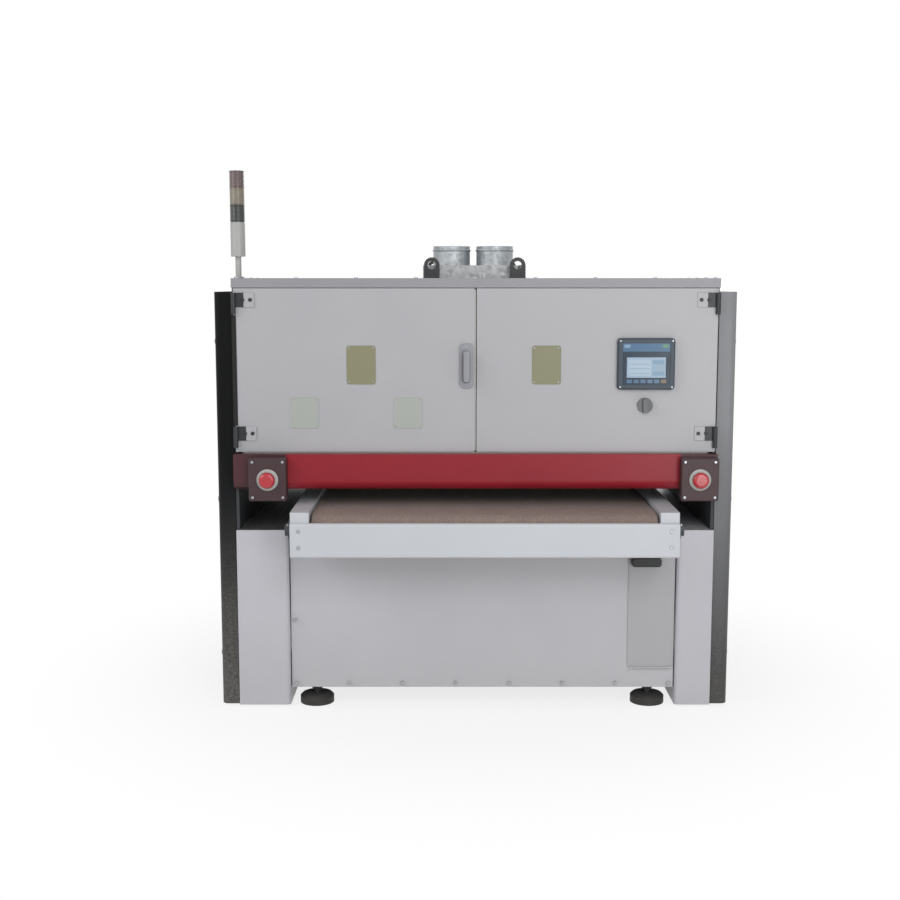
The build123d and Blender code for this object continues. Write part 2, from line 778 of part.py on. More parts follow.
# Brush rollers: a slotted core on its shaft, and slit strips held in the slots by a ring at each end.
core_radius = core_diameter / 2
slot_floor = core_radius - strip_root
finger_pitch = (belt_width - 4 * strip_stagger) / finger_count
finger_width = finger_pitch - finger_slit
finger_root = core_radius + finger_slit
shoulder_end = frame_inner - brush_bearing_width - 2 * hang_gap
for end, sign in (("front", -1), ("rear", 1)):
    roller_plane = Plane((0, sign * brush_y, brush_z), x_dir=(0, 1, 0), z_dir=(1, 0, 0))

    with BuildPart() as brush_core:
        with BuildSketch(roller_plane.offset(table_x - belt_half)):
            Circle(core_radius)
            with PolarLocations(core_radius, strip_count):
                Rectangle(2 * strip_root, strip_thickness + 2 * slot_gap, mode=Mode.SUBTRACT)
        extrude(amount=belt_width)
        with BuildSketch(roller_plane.offset(-shoulder_end)):
            Circle(brush_shoulder / 2)
        extrude(amount=2 * shoulder_end)
        with BuildSketch(roller_plane.offset(-pulley_outer)):
            Circle(brush_shaft / 2)
        extrude(amount=pulley_outer + frame_outer - hang_gap)
    brush_core.part.label = f"{end}_brush_core"
    export_step(brush_core.part, f"parts/{end}_brush_core.step")

    with BuildPart() as brush_strips:
        for index in range(strip_count):
            strip_plane = Plane(
                (table_x, sign * brush_y, brush_z),
                x_dir=(1, 0, 0),
                z_dir=Vector(0, 0, 1).rotate(Axis.X, 360 * index / strip_count),
            )
            shift = strip_stagger if index % 2 else -strip_stagger
            with BuildSketch(strip_plane):
                rect_between(-belt_half, belt_half, slot_floor, finger_root)
                with Locations((shift, (slot_floor + brush_diameter / 2) / 2)):
                    with GridLocations(finger_pitch, 1, finger_count, 1):
                        Rectangle(finger_width, brush_diameter / 2 - slot_floor)
            extrude(amount=strip_thickness / 2, both=True)
        for face_x in (table_x - belt_half - ring_width, table_x + belt_half):
            with BuildSketch(roller_plane.offset(face_x)):
                Circle(core_radius + ring_rise)
                Circle(slot_floor - ring_width, mode=Mode.SUBTRACT)
            extrude(amount=ring_width)
    brush_strips.part.label = f"{end}_brush_strips"
    export_step(brush_strips.part, f"parts/{end}_brush_strips.step")

    # Pulley on the left end of the brush shaft: rim between two flanges, thin web, hub.
    rim = pulley_flange + drive_belt_thickness
    recess = pulley_width / 3
    pulley_plane = roller_plane.offset(-pulley_outer)
    with BuildPart() as brush_pulley_wheel:
        with BuildSketch(pulley_plane):
            Circle(brush_pulley / 2)
        extrude(amount=pulley_width)
        for face_x in (-pulley_outer, -pulley_inner - pulley_flange):
            with BuildSketch(roller_plane.offset(face_x)):
                Circle(brush_pulley / 2 + pulley_flange_rise)
            extrude(amount=pulley_flange)
        for face_x in (-pulley_outer, -pulley_inner - recess):
            with BuildSketch(roller_plane.offset(face_x)):
                Circle(brush_pulley / 2 - rim)
                Circle(brush_pulley_hub / 2, mode=Mode.SUBTRACT)
            extrude(amount=recess, mode=Mode.SUBTRACT)
        with BuildSketch(pulley_plane):
            Circle(brush_shaft / 2 + running_gap)
        extrude(amount=pulley_width, mode=Mode.SUBTRACT)
    brush_pulley_wheel.part.label = f"{end}_brush_pulley"
    export_step(brush_pulley_wheel.part, f"parts/{end}_brush_pulley.step")

    # Motor pulley with the motor's shaft.
    motor_plane = Plane((0, sign * brush_y, motor_z), x_dir=(0, 1, 0), z_dir=(1, 0, 0))
    with BuildPart() as motor_pulley_wheel:
        with BuildSketch(motor_plane.offset(-pulley_outer)):
            Circle(motor_pulley / 2)
        extrude(amount=pulley_width)
        for face_x in (-pulley_outer, -pulley_inner - pulley_flange):
            with BuildSketch(motor_plane.offset(face_x)):
                Circle(motor_pulley / 2 + pulley_flange_rise)
            extrude(amount=pulley_flange)
        with BuildSketch(motor_plane.offset(-pulley_outer)):
            Circle(motor_pulley / 2 - rim)
            Circle(motor_pulley_hub / 2, mode=Mode.SUBTRACT)
        extrude(amount=recess, mode=Mode.SUBTRACT)
        with BuildSketch(motor_plane.offset(-pulley_inner)):
            Circle(motor_shaft / 2)
        extrude(amount=pulley_inner + motor_face + motor_seat)
    motor_pulley_wheel.part.label = f"{end}_motor_pulley"
    export_step(motor_pulley_wheel.part, f"parts/{end}_motor_pulley.step")

# Signal tower: foot, pole and housing in one, then three lenses.
tower_x = -(frame_outer - tower_inset)
tower_y = -(half_depth - tower_set_back)
housing_bottom = roof_top + tower_pole_height
lens_bottom = housing_bottom + tower_housing_height
tower_stack = (
    (roof_top, tower_foot_height, tower_foot),
    (roof_top, tower_pole_height, tower_pole),
    (housing_bottom, tower_housing_height, tower_housing),
)
with BuildPart() as tower_stem:
    for height, length, diameter in tower_stack:
        with BuildSketch(Plane.XY.offset(height)):
            with Locations((tower_x, tower_y)):
                Circle(diameter / 2)
        extrude(amount=length)
    chamfer(tower_stem.faces().sort_by(Axis.Z)[-1].edges(), lens_groove / 2)
tower_stem.part.label = "tower_stem"
export_step(tower_stem.part, "parts/tower_stem.step")

for index, colour in enumerate(("green", "amber", "red")):
    lens_z = lens_bottom + index * lens_height
    with BuildPart() as tower_lens:
        with BuildSketch(Plane.XY.offset(lens_z)):
            with Locations((tower_x, tower_y)):
                Circle(lens_diameter / 2 - lens_groove)
        extrude(amount=lens_groove)
        with BuildSketch(Plane.XY.offset(lens_z + lens_groove)):
            with Locations((tower_x, tower_y)):
                Circle(lens_diameter / 2)
        extrude(amount=lens_height - lens_groove)
        fillet(tower_lens.faces().sort_by(Axis.Z)[-1].edges(), lens_groove)
    tower_lens.part.label = f"tower_{colour}_lens"
    export_step(tower_lens.part, f"parts/tower_{colour}_lens.step")

# Emergency stops: a box on each end of the front beam and a mushroom button in it.
estop_z = beam_bottom + estop_up
estop_face = beam_face + estop_box_depth
with BuildPart() as estop_boxes:
    with BuildSketch(Plane.XZ.offset(beam_face)):
        with Locations((table_x + estop_spread, estop_z)):
            RectangleRounded(estop_box_width, estop_box_height, estop_edge)
    extrude(amount=estop_box_depth)
    chamfer(estop_boxes.faces().sort_by(Axis.Y)[0].edges(), estop_edge / 2)
    with BuildSketch(Plane.XZ.offset(estop_face)):
        with Locations((table_x + estop_spread, estop_z)):
            Circle(estop_stem / 2 + running_gap)
    extrude(amount=-estop_stem_seat - estop_stroke - hang_gap, mode=Mode.SUBTRACT)
    mirror(about=table_plane)
estop_boxes.part.label = "estop_boxes"
export_step(estop_boxes.part, "parts/estop_boxes.step")

for side, sign in (("left", -1), ("right", 1)):
    with BuildPart() as estop_button:
        with BuildSketch(Plane.XZ.offset(estop_face - estop_stem_seat)):
            with Locations((table_x + sign * estop_spread, estop_z)):
                Circle(estop_stem / 2)
        extrude(amount=estop_stem_seat + 2 * estop_stroke)
        with BuildSketch(Plane.XZ.offset(estop_face + 2 * estop_stroke)):
            with Locations((table_x + sign * estop_spread, estop_z)):
                Circle(estop_head / 2)
        extrude(amount=estop_head_height)
        fillet(estop_button.faces().sort_by(Axis.Y)[0].edges(), estop_dome)
    estop_button.part.label = f"{side}_estop_button"
    export_step(estop_button.part, f"parts/{side}_estop_button.step")

# Hinges, fixed halves: a knuckle with its pin, low and high, for the front doors and the side doors.
front_hinge_x = frame_outer - front_knuckle / 2
front_hinge_y = -(door_face + front_knuckle / 2 + hang_gap)
front_hinge_heights = (door_bottom + front_hinge_inset, door_top - front_hinge_inset)
front_seat = front_hinge_length / 3
side_hinge_x = side_door_outer - side_hinge_offset
side_hinge_y = half_depth + side_knuckle / 2
side_hinge_heights = (side_hinge_low, side_hinge_high)
side_seat = side_hinge_length / 2
arm_half = side_hinge_arm / 2
with BuildPart() as hinges:
    for height in front_hinge_heights:
        base = height - front_hinge_length / 2
        with BuildSketch(Plane.XY.offset(base)):
            with Locations((front_hinge_x, front_hinge_y)):
                Circle(front_knuckle / 2)
            rect_between(frame_outer - front_hinge_arm, frame_outer, front_hinge_y, -half_depth)
        extrude(amount=front_seat)
        with BuildSketch(Plane.XY.offset(base)):
            with Locations((front_hinge_x, front_hinge_y)):
                Circle(front_pin / 2)
        extrude(amount=front_hinge_length - hang_gap)
    for height in side_hinge_heights:
        base = height - side_hinge_length / 2
        with BuildSketch(Plane.XY.offset(base)):
            with Locations((side_hinge_x, side_hinge_y)):
                Circle(side_knuckle / 2)
            rect_between(frame_inner, side_hinge_x, side_hinge_y - arm_half, side_hinge_y + arm_half)
            rect_between(frame_inner - side_hinge_arm, frame_outer, half_depth, half_depth + side_hinge_leaf)
        extrude(amount=side_seat)
        with BuildSketch(Plane.XY.offset(base)):
            with Locations((side_hinge_x, side_hinge_y)):
                Circle(side_pin / 2)
        extrude(amount=side_hinge_length - hang_gap)
    mirror(about=Plane.YZ)
hinges.part.label = "hinges"
export_step(hinges.part, "parts/hinges.step")

# Front doors: folded pans with the moving halves of their hinges. The right one has the switch's hole.
hmi_x = door_outer - hmi_edge - hmi_width / 2
hmi_z = door_bottom + hmi_up
switch_z = door_bottom + switch_up
strap = front_knuckle / 4
for side, sign in (("left", -1), ("right", 1)):
    with BuildPart() as front_door:
        with BuildSketch(Plane.XZ.offset(half_depth)):
            rect_between(door_inner, door_outer, door_bottom, door_top)
        extrude(amount=door_depth)
        offset(amount=-sheet, openings=front_door.faces().sort_by(Axis.Y)[-1])
        for height in front_hinge_heights:
            base = height - front_hinge_length / 2 + front_seat + slide_gap
            with BuildSketch(Plane.XY.offset(base)):
                with Locations((front_hinge_x, front_hinge_y)):
                    Circle(front_knuckle / 2)
                rect_between(front_hinge_x - front_hinge_reach, front_hinge_x, -door_face - strap, -door_face)
                rect_between(front_hinge_x - strap, front_hinge_x, front_hinge_y, -door_face)
                with Locations((front_hinge_x, front_hinge_y)):
                    Circle(front_pin / 2 + running_gap, mode=Mode.SUBTRACT)
            extrude(amount=front_hinge_length - front_seat - slide_gap)
        if side == "left":
            mirror(about=Plane.YZ, mode=Mode.REPLACE)
        else:
            with BuildSketch(Plane.XZ.offset(door_face)):
                with Locations((hmi_x, switch_z)):
                    Circle(switch_spindle / 2 + running_gap)
            extrude(amount=-sheet, mode=Mode.SUBTRACT)
    front_door.part.label = f"{side}_front_door"
    export_step(front_door.part, f"parts/{side}_front_door.step")

# Door handle: an oblong plate on the left door and a lever that turns in it.
handle_x = -(door_inner + handle_edge + handle_plate_width / 2)
handle_z = door_bottom + handle_up
pivot_z = handle_z + handle_pivot_up
plate_face = door_face + handle_plate_depth
with BuildPart() as handle_plate:
    with BuildSketch(Plane.XZ.offset(door_face)):
        with Locations((handle_x, handle_z)):
            RectangleRounded(handle_plate_width, handle_plate_height, handle_plate_width / 3)
        with Locations((handle_x, pivot_z)):
            Circle(handle_spindle / 2 + running_gap, mode=Mode.SUBTRACT)
    extrude(amount=handle_plate_depth)
handle_plate.part.label = "handle_plate"
export_step(handle_plate.part, "parts/handle_plate.step")

with BuildPart() as door_handle:
    with BuildSketch(Plane.XZ.offset(door_face + slide_gap)):
        with Locations((handle_x, pivot_z)):
            Circle(handle_spindle / 2)
    extrude(amount=handle_plate_depth + lever_stand)
    with BuildSketch(Plane.XZ.offset(plate_face + slide_gap)):
        with Locations((handle_x, pivot_z)):
            Circle(lever_width / 2)
    extrude(amount=lever_stand - slide_gap)
    with BuildSketch(Plane.XZ.offset(plate_face + lever_stand)):
        with Locations((handle_x, pivot_z - lever_length / 2 + lever_width / 2)):
            SlotOverall(lever_length, lever_width, rotation=90)
    extrude(amount=lever_depth)
    fillet(door_handle.faces().sort_by(Axis.Y)[0].edges(), lever_depth / 3)
door_handle.part.label = "door_handle"
export_step(door_handle.part, "parts/door_handle.step")

# Operator panel on the right door: a bezel with a recess, and the screen in it.
screen_width = hmi_width - 2 * hmi_rim
screen_height = hmi_height - 2 * hmi_rim
hmi_face = door_face + hmi_depth
with BuildPart() as hmi_bezel:
    with BuildSketch(Plane.XZ.offset(door_face)):
        with Locations((hmi_x, hmi_z)):
            RectangleRounded(hmi_width, hmi_height, hmi_corner)
    extrude(amount=hmi_depth)
    chamfer(hmi_bezel.faces().sort_by(Axis.Y)[0].edges(), hmi_corner / 3)
    with BuildSketch(Plane.XZ.offset(hmi_face)):
        with Locations((hmi_x, hmi_z)):
            Rectangle(screen_width, screen_height)
    extrude(amount=-hmi_recess, mode=Mode.SUBTRACT)
hmi_bezel.part.label = "hmi_bezel"
export_step(hmi_bezel.part, "parts/hmi_bezel.step")

with BuildPart() as hmi_screen:
    with BuildSketch(Plane.XZ.offset(hmi_face - hmi_recess)):
        with Locations((hmi_x, hmi_z)):
            Rectangle(screen_width - 2 * slide_gap, screen_height - 2 * slide_gap)
    extrude(amount=screen_thickness)
hmi_screen.part.label = "hmi_screen"
export_step(hmi_screen.part, "parts/hmi_screen.step")

# Main switch: a knob with a grip bar, on a spindle through the door.
with BuildPart() as main_switch:
    with BuildSketch(Plane.XZ.offset(door_face - 2 * sheet)):
        with Locations((hmi_x, switch_z)):
            Circle(switch_spindle / 2)
    extrude(amount=3 * sheet)
    with BuildSketch(Plane.XZ.offset(door_face + slide_gap)):
        with Locations((hmi_x, switch_z)):
            Circle(switch_diameter / 2)
    extrude(amount=switch_height / 2)
    with BuildSketch(Plane.XZ.offset(door_face + switch_height / 2)):
        with Locations((hmi_x, switch_z)):
            RectangleRounded(switch_grip, switch_grip_length, switch_grip / 3)
    extrude(amount=switch_height / 2)
main_switch.part.label = "main_switch"
export_step(main_switch.part, "parts/main_switch.step")

# Side doors: deep pans over the drive and the control gear, hinged at the rear.
side_door_front = -half_depth - 2 * hang_gap
side_door_rear = half_depth - 2 * hang_gap
side_door_bottom = skirt_gap + 2 * hang_gap
side_door_top = roof_bottom - side_door_drop
for side, sign in (("left", -1), ("right", 1)):
    with BuildPart() as side_door:
        with BuildSketch(Plane.XY.offset(side_door_bottom)):
            rect_between(side_door_inner, side_door_outer, side_door_front, side_door_rear)
        extrude(amount=side_door_top - side_door_bottom)
        outer_edges = side_door.edges().filter_by(Axis.Z).group_by(Axis.X)[-1]
        fillet(outer_edges.sort_by(Axis.Y)[0], side_door_corner)
        offset(amount=-sheet, openings=side_door.faces().sort_by(Axis.X)[0])
        for height in side_hinge_heights:
            base = height - side_hinge_length / 2 + side_seat + slide_gap
            with BuildSketch(Plane.XY.offset(base)):
                with Locations((side_hinge_x, side_hinge_y)):
                    Circle(side_knuckle / 2)
                rect_between(
                    side_hinge_x - side_knuckle / 2,
                    side_hinge_x + side_knuckle / 2,
                    side_door_rear - sheet,
                    side_hinge_y,
                )
                with Locations((side_hinge_x, side_hinge_y)):
                    Circle(side_pin / 2 + running_gap, mode=Mode.SUBTRACT)
            extrude(amount=side_hinge_length - side_seat - slide_gap)
        if side == "left":
            mirror(about=Plane.YZ, mode=Mode.REPLACE)
    side_door.part.label = f"{side}_side_door"
    export_step(side_door.part, f"parts/{side}_side_door.step")

# Service hatch: a flat door over its opening, with a knuckle and two pins at its lower edge.
hatch_face = panel_y + sheet + hang_gap
hatch_low = hatch_bottom - hatch_lap
knuckle_left = hatch_left + hatch_lug + slide_gap
knuckle_right = hatch_right - hatch_lug - slide_gap
with BuildPart() as service_hatch:
    with BuildSketch(Plane.XZ.offset(hatch_face)):
        rect_between(hatch_left - hatch_lap, hatch_right + hatch_lap, hatch_low, hatch_top + hatch_lap)
    extrude(amount=sheet)
    with BuildSketch(Plane.YZ.offset(knuckle_left)):
        with Locations((hatch_axis_y, hatch_axis_z)):
            Circle(hatch_knuckle / 2)
        rect_between(-hatch_face - sheet, -hatch_face, hatch_axis_z, hatch_low)
    extrude(amount=knuckle_right - knuckle_left)
    with BuildSketch(Plane.YZ.offset(hatch_left)):
        with Locations((hatch_axis_y, hatch_axis_z)):
            Circle(hatch_pin / 2)
    extrude(amount=hatch_width)
service_hatch.part.label = "service_hatch"
export_step(service_hatch.part, "parts/service_hatch.step")

# Bow handle on the hatch.
handle_mid_x = hatch_left + hatch_handle_in
handle_mid_z = hatch_top - hatch_handle_drop
bow_back = hatch_face + sheet
with BuildPart() as hatch_handle:
    with BuildSketch(Plane.XZ.offset(bow_back)):
        with Locations((handle_mid_x, handle_mid_z)):
            RectangleRounded(hatch_handle_width, hatch_handle_height, hatch_handle_bar)
    extrude(amount=hatch_handle_reach)
    fillet(hatch_handle.faces().sort_by(Axis.Y)[0].edges(), hatch_handle_bar / 2)
    with BuildSketch(Plane.XZ.offset(bow_back)):
        with Locations((handle_mid_x, handle_mid_z)):
            Rectangle(hatch_handle_width - 2 * hatch_handle_bar, hatch_handle_height)
    extrude(amount=hatch_handle_reach - hatch_handle_bar, mode=Mode.SUBTRACT)
hatch_handle.part.label = "hatch_handle"
export_step(hatch_handle.part, "parts/hatch_handle.step")

# Table rails: box section beside the belt, closed at the ends and bored for the roller shafts.
rail_centre = (lift_x, (rail_bottom + rail_top) / 2)
with BuildPart() as table_rails:
    with BuildSketch(Plane.XZ.offset(-table_half)):
        with Locations(rail_centre):
            Rectangle(rail_width, rail_height)
    extrude(amount=2 * table_half)
    with BuildSketch(Plane.XZ.offset(rail_wall - table_half)):
        with Locations(rail_centre):
            Rectangle(rail_width - 2 * rail_wall, rail_height - 2 * rail_wall)
    extrude(amount=2 * (table_half - rail_wall), mode=Mode.SUBTRACT)
    with BuildSketch(Plane.YZ.offset(table_x + rail_inner)):
        with Locations((-roller_y, table_roller_z), (roller_y, table_roller_z)):
            Circle(roller_shaft / 2 + hang_gap)
    extrude(amount=rail_width, mode=Mode.SUBTRACT)
    mirror(about=table_plane)
table_rails.part.label = "table_rails"
export_step(table_rails.part, "parts/table_rails.step")

# Table bed: the plate under the belt, ribbed below, between the rails.
bed_half = roller_y - table_roller / 2 - bed_roller_gap
rib_bottom = bed_top - bed_plate - bed_rib
with BuildPart() as table_bed:
    with BuildSketch(Plane.XY.offset(bed_top - bed_plate)):
        with Locations((table_x, 0)):
            Rectangle(2 * rail_inner, 2 * bed_half)
    extrude(amount=bed_plate)
    with BuildSketch(Plane.XY.offset(rib_bottom)):
        with Locations((table_x, 0)):
            with GridLocations(1, 2 * bed_half / bed_rib_count, 1, bed_rib_count):
                Rectangle(2 * rail_inner, bed_plate)
    extrude(amount=bed_rib)
table_bed.part.label = "table_bed"
export_step(table_bed.part, "parts/table_bed.step")

# Feed belt: a loop round both table rollers, on the bed.
belt_inside = table_roller + 2 * slide_gap
with BuildPart() as conveyor_belt:
    with BuildSketch(Plane.YZ.offset(table_x - belt_half)):
        with Locations((0, table_roller_z)):
            SlotCenterToCenter(2 * roller_y, belt_inside + 2 * belt_thickness)
            SlotCenterToCenter(2 * roller_y, belt_inside, mode=Mode.SUBTRACT)
    extrude(amount=belt_width)
conveyor_belt.part.label = "conveyor_belt"
export_step(conveyor_belt.part, "parts/conveyor_belt.step")

# Table rollers: a tube on two webs, with relief holes. The rear one drives and reaches the gearbox.
bearing_outer = rail_outer + bearing_width
gearbox_inner = bearing_outer + gearbox_gap
gearbox_outer = gearbox_inner + gearbox_width
roller_half = belt_half - pass_gap
tube_inside = table_roller / 2 - roller_wall
relief_hole = (tube_inside - roller_shaft / 2) / 4
for name, roller_end, right_end in (
    ("idler_roller", -1, bearing_outer - hang_gap),
    ("drive_roller", 1, gearbox_outer - pass_gap),
):
    axis_plane = Plane((table_x, roller_end * roller_y, table_roller_z), x_dir=(0, 1, 0), z_dir=(1, 0, 0))
    with BuildPart() as table_roller_body:
        with BuildSketch(axis_plane.offset(-roller_half)):
            Circle(table_roller / 2)
            Circle(tube_inside, mode=Mode.SUBTRACT)
        extrude(amount=2 * roller_half)
        for web_x in (-roller_half + roller_web, roller_half - 2 * roller_web):
            with BuildSketch(axis_plane.offset(web_x)):
                Circle(tube_inside)
                with PolarLocations((tube_inside + roller_shaft / 2) / 2, 4):
                    Circle(relief_hole, mode=Mode.SUBTRACT)
            extrude(amount=roller_web)
        with BuildSketch(axis_plane.offset(-bearing_outer + hang_gap)):
            Circle(roller_shaft / 2)
        extrude(amount=bearing_outer - hang_gap + right_end)
    table_roller_body.part.label = name
    export_step(table_roller_body.part, f"parts/{name}.step")

# Roller bearings on the outside of the rails.
with BuildPart() as roller_bearings:
    with BuildSketch(Plane.YZ.offset(table_x + rail_outer)):
        with Locations((roller_y, table_roller_z)):
            Circle(bearing_flange / 2)
            Circle(roller_shaft / 2 + running_gap, mode=Mode.SUBTRACT)
    extrude(amount=bearing_width / 2)
    with BuildSketch(Plane.YZ.offset(table_x + rail_outer)):
        with Locations((roller_y, table_roller_z)):
            Circle(bearing_boss / 2)
            Circle(roller_shaft / 2 + running_gap, mode=Mode.SUBTRACT)
    extrude(amount=bearing_width)
    mirror(about=table_plane)
    mirror(about=Plane.XZ)
roller_bearings.part.label = "roller_bearings"
export_step(roller_bearings.part, "parts/roller_bearings.step")

# Feed gearmotor: a hollow-shaft gearbox on the drive roller, its motor below and its torque arm on the rail.
gearbox_face = table_x + gearbox_inner
gearbox_bottom = table_roller_z - gearbox_below
feed_motor_x = gearbox_face + gearbox_width / 2
feed_motor_radius = feed_motor_diameter / 2
feed_fin_root = feed_motor_radius - feed_motor_fin
feed_terminal_top = gearbox_bottom - feed_terminal_drop
with BuildPart() as conveyor_gearmotor:
    with BuildSketch(Plane.YZ.offset(gearbox_face)):
        rect_between(
            roller_y - gearbox_depth / 2,
            roller_y + gearbox_depth / 2,
            gearbox_bottom,
            table_roller_z + gearbox_above,
        )
    extrude(amount=gearbox_width)
    fillet(conveyor_gearmotor.edges().filter_by(Axis.X), gearbox_corner)
    with BuildSketch(Plane.XY.offset(gearbox_bottom)):
        with Locations((feed_motor_x, roller_y)):
            Circle(feed_fin_root)
            with PolarLocations(feed_fin_root, feed_motor_fin_count):
                Rectangle(2 * feed_motor_fin, feed_motor_fin / 2)
    extrude(amount=-feed_motor_length)
    with BuildSketch(Plane.XY.offset(gearbox_bottom - feed_motor_length)):
        with Locations((feed_motor_x, roller_y)):
            Circle(feed_motor_radius)
    extrude(amount=feed_motor_cowl)
    with BuildSketch(Plane.YZ.offset(feed_motor_x)):
        rect_between(
            roller_y - feed_terminal_width / 2,
            roller_y + feed_terminal_width / 2,
            feed_terminal_top - feed_terminal_height,
            feed_terminal_top,
        )
    extrude(amount=feed_motor_radius + feed_terminal_rise)
    with BuildSketch(Plane.YZ.offset(table_x + rail_outer)):
        rect_between(
            roller_y - bearing_flange / 2 - torque_arm,
            roller_y - bearing_flange / 2 - hang_gap,
            table_roller_z - gearbox_below / 2,
            table_roller_z,
        )
    extrude(amount=gearbox_inner - rail_outer)
    with BuildSketch(Plane.YZ.offset(gearbox_face)):
        with Locations((roller_y, table_roller_z)):
            Circle(roller_shaft / 2 + running_gap)
    extrude(amount=gearbox_width, mode=Mode.SUBTRACT)
conveyor_gearmotor.part.label = "conveyor_gearmotor"
export_step(conveyor_gearmotor.part, "parts/conveyor_gearmotor.step")

# End covers across both ends of the table: shallow pans on the ends of the rails.
cover_top = belt_top - cover_drop
with BuildPart() as table_end_covers:
    with BuildSketch(Plane.XZ.offset(table_half)):
        rect_between(table_x - rail_outer, table_x + rail_outer, cover_top - cover_height, cover_top)
    extrude(amount=cover_depth)
    front_edges = table_end_covers.faces().sort_by(Axis.Y)[0].edges().filter_by(Axis.X)
    fillet(front_edges, cover_edge)
    offset(amount=-sheet, openings=table_end_covers.faces().sort_by(Axis.Y)[-1])
    mirror(about=Plane.XZ)
table_end_covers.part.label = "table_end_covers"
export_step(table_end_covers.part, "parts/table_end_covers.step")

# Lifting screws under the rails, standing in the jacks.
screw_bottom = cross_beam_top + jack_floor + lift_travel + 2 * hang_gap
with BuildPart() as lift_screws:
    with BuildSketch(Plane.XY.offset(rail_bottom)):
        with Locations((lift_x, foot_y)):
            Circle(screw_flange / 2)
    extrude(amount=-screw_flange_height)
    with BuildSketch(Plane.XY.offset(rail_bottom)):
        with Locations((lift_x, foot_y)):
            Circle(lift_screw / 2)
    extrude(amount=screw_bottom - rail_bottom)
    mirror(about=table_plane)
    mirror(about=Plane.XZ)
lift_screws.part.label = "lift_screws"
export_step(lift_screws.part, "parts/lift_screws.step")

# Control panel on the right side plate: a backing plate with rows of switchgear.
device_pitch_y = device_width + control_margin / 3
device_pitch_z = device_height + control_margin
control_half = device_columns * device_pitch_y / 2 + control_margin
control_bottom = brush_z + control_up
control_top = control_bottom + device_rows * device_pitch_z + control_margin
with BuildPart() as control_panel:
    with BuildSketch(Plane.YZ.offset(frame_outer)):
        rect_between(-control_half, control_half, control_bottom, control_top)
    extrude(amount=sheet)
    with BuildSketch(Plane.YZ.offset(frame_outer + sheet)):
        with Locations((0, (control_bottom + control_top) / 2)):
            with GridLocations(device_pitch_y, device_pitch_z, device_columns, device_rows):
                Rectangle(device_width, device_height)
    extrude(amount=device_depth)
control_panel.part.label = "control_panel"
export_step(control_panel.part, "parts/control_panel.step")
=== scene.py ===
import bpy
import bmesh
import math
from functools import partial
from mathutils import Matrix, Vector


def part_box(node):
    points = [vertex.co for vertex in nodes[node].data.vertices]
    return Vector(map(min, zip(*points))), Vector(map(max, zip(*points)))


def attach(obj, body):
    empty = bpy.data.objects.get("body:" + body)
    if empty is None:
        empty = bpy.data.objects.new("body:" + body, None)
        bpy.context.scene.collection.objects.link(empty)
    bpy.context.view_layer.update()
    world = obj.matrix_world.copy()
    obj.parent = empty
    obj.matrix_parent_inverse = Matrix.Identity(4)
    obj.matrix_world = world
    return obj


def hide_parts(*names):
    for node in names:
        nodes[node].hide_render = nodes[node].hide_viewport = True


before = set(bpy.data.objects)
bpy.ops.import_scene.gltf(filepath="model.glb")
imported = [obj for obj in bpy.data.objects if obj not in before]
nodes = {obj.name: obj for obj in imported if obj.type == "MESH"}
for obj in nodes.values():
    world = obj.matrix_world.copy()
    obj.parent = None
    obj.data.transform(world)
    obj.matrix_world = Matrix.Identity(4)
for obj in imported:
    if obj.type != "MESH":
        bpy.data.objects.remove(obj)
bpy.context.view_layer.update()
scene = bpy.context.scene
mm = 0.001
print("frame loaded:", len(nodes), "nodes")


def linearColor(code):  # sRGB hex to linear
    channels = [int(code[i:i + 2], 16) / 255 for i in (1, 3, 5)]
    return tuple(c / 12.92 if c <= 0.04045 else ((c + 0.055) / 1.055) ** 2.4 for c in channels) + (1.0,)


# Adds a node. Its kind is Blender's name without the family, and may end with its operation or data type.
# Inputs are values for the first sockets, or dictionaries of sockets. A hex code is a colour, a node stands
# for its first output, and a list goes into one socket.
def addNode(tree, kind, *inputs, **settings):
    kind, _, mode = kind.partition(" ")
    families = ("ShaderNode", "GeometryNode", "FunctionNode", "Node")
    node = tree.nodes.new(next(family + kind for family in families if hasattr(bpy.types, family + kind)))
    if mode:
        setattr(node, "operation" if hasattr(node, "operation") else "data_type", mode)
    for name, value in settings.items():
        setattr(node, name, value)
    sockets = {}
    for place, value in enumerate(inputs):
        sockets.update(value if isinstance(value, dict) else {place: value})
    for socket, value in sockets.items():
        for item in value if isinstance(value, list) else [value]:
            if isinstance(item, bpy.types.Node):
                item = next(output for output in item.outputs if output.enabled)
            if isinstance(item, bpy.types.NodeSocket):
                tree.links.new(item, node.inputs[socket])
            else:
                isColor = isinstance(item, str) and item.startswith("#")
                node.inputs[socket].default_value = linearColor(item) if isColor else item
    return node


def addObject(name, data):
    added = bpy.data.objects.new(name, data)
    scene.collection.objects.link(added)
    return added


# Camera, fitted to the photograph
cameraLook = {"place": (-0.095, -5.36, 1.615), "pitchDown": 7.35, "lens": 51.6, "sensor": 36.0}
cameraData = bpy.data.cameras.new("photoCamera")
cameraData.lens = cameraLook["lens"]
cameraData.sensor_width = cameraLook["sensor"]
camera = addObject("photoCamera", cameraData)
camera.location = cameraLook["place"]
camera.rotation_euler = (math.radians(90 - cameraLook["pitchDown"]), 0, 0)
scene.camera = camera
scene.view_settings.view_transform = "Standard"


finish = {}  # materials by name


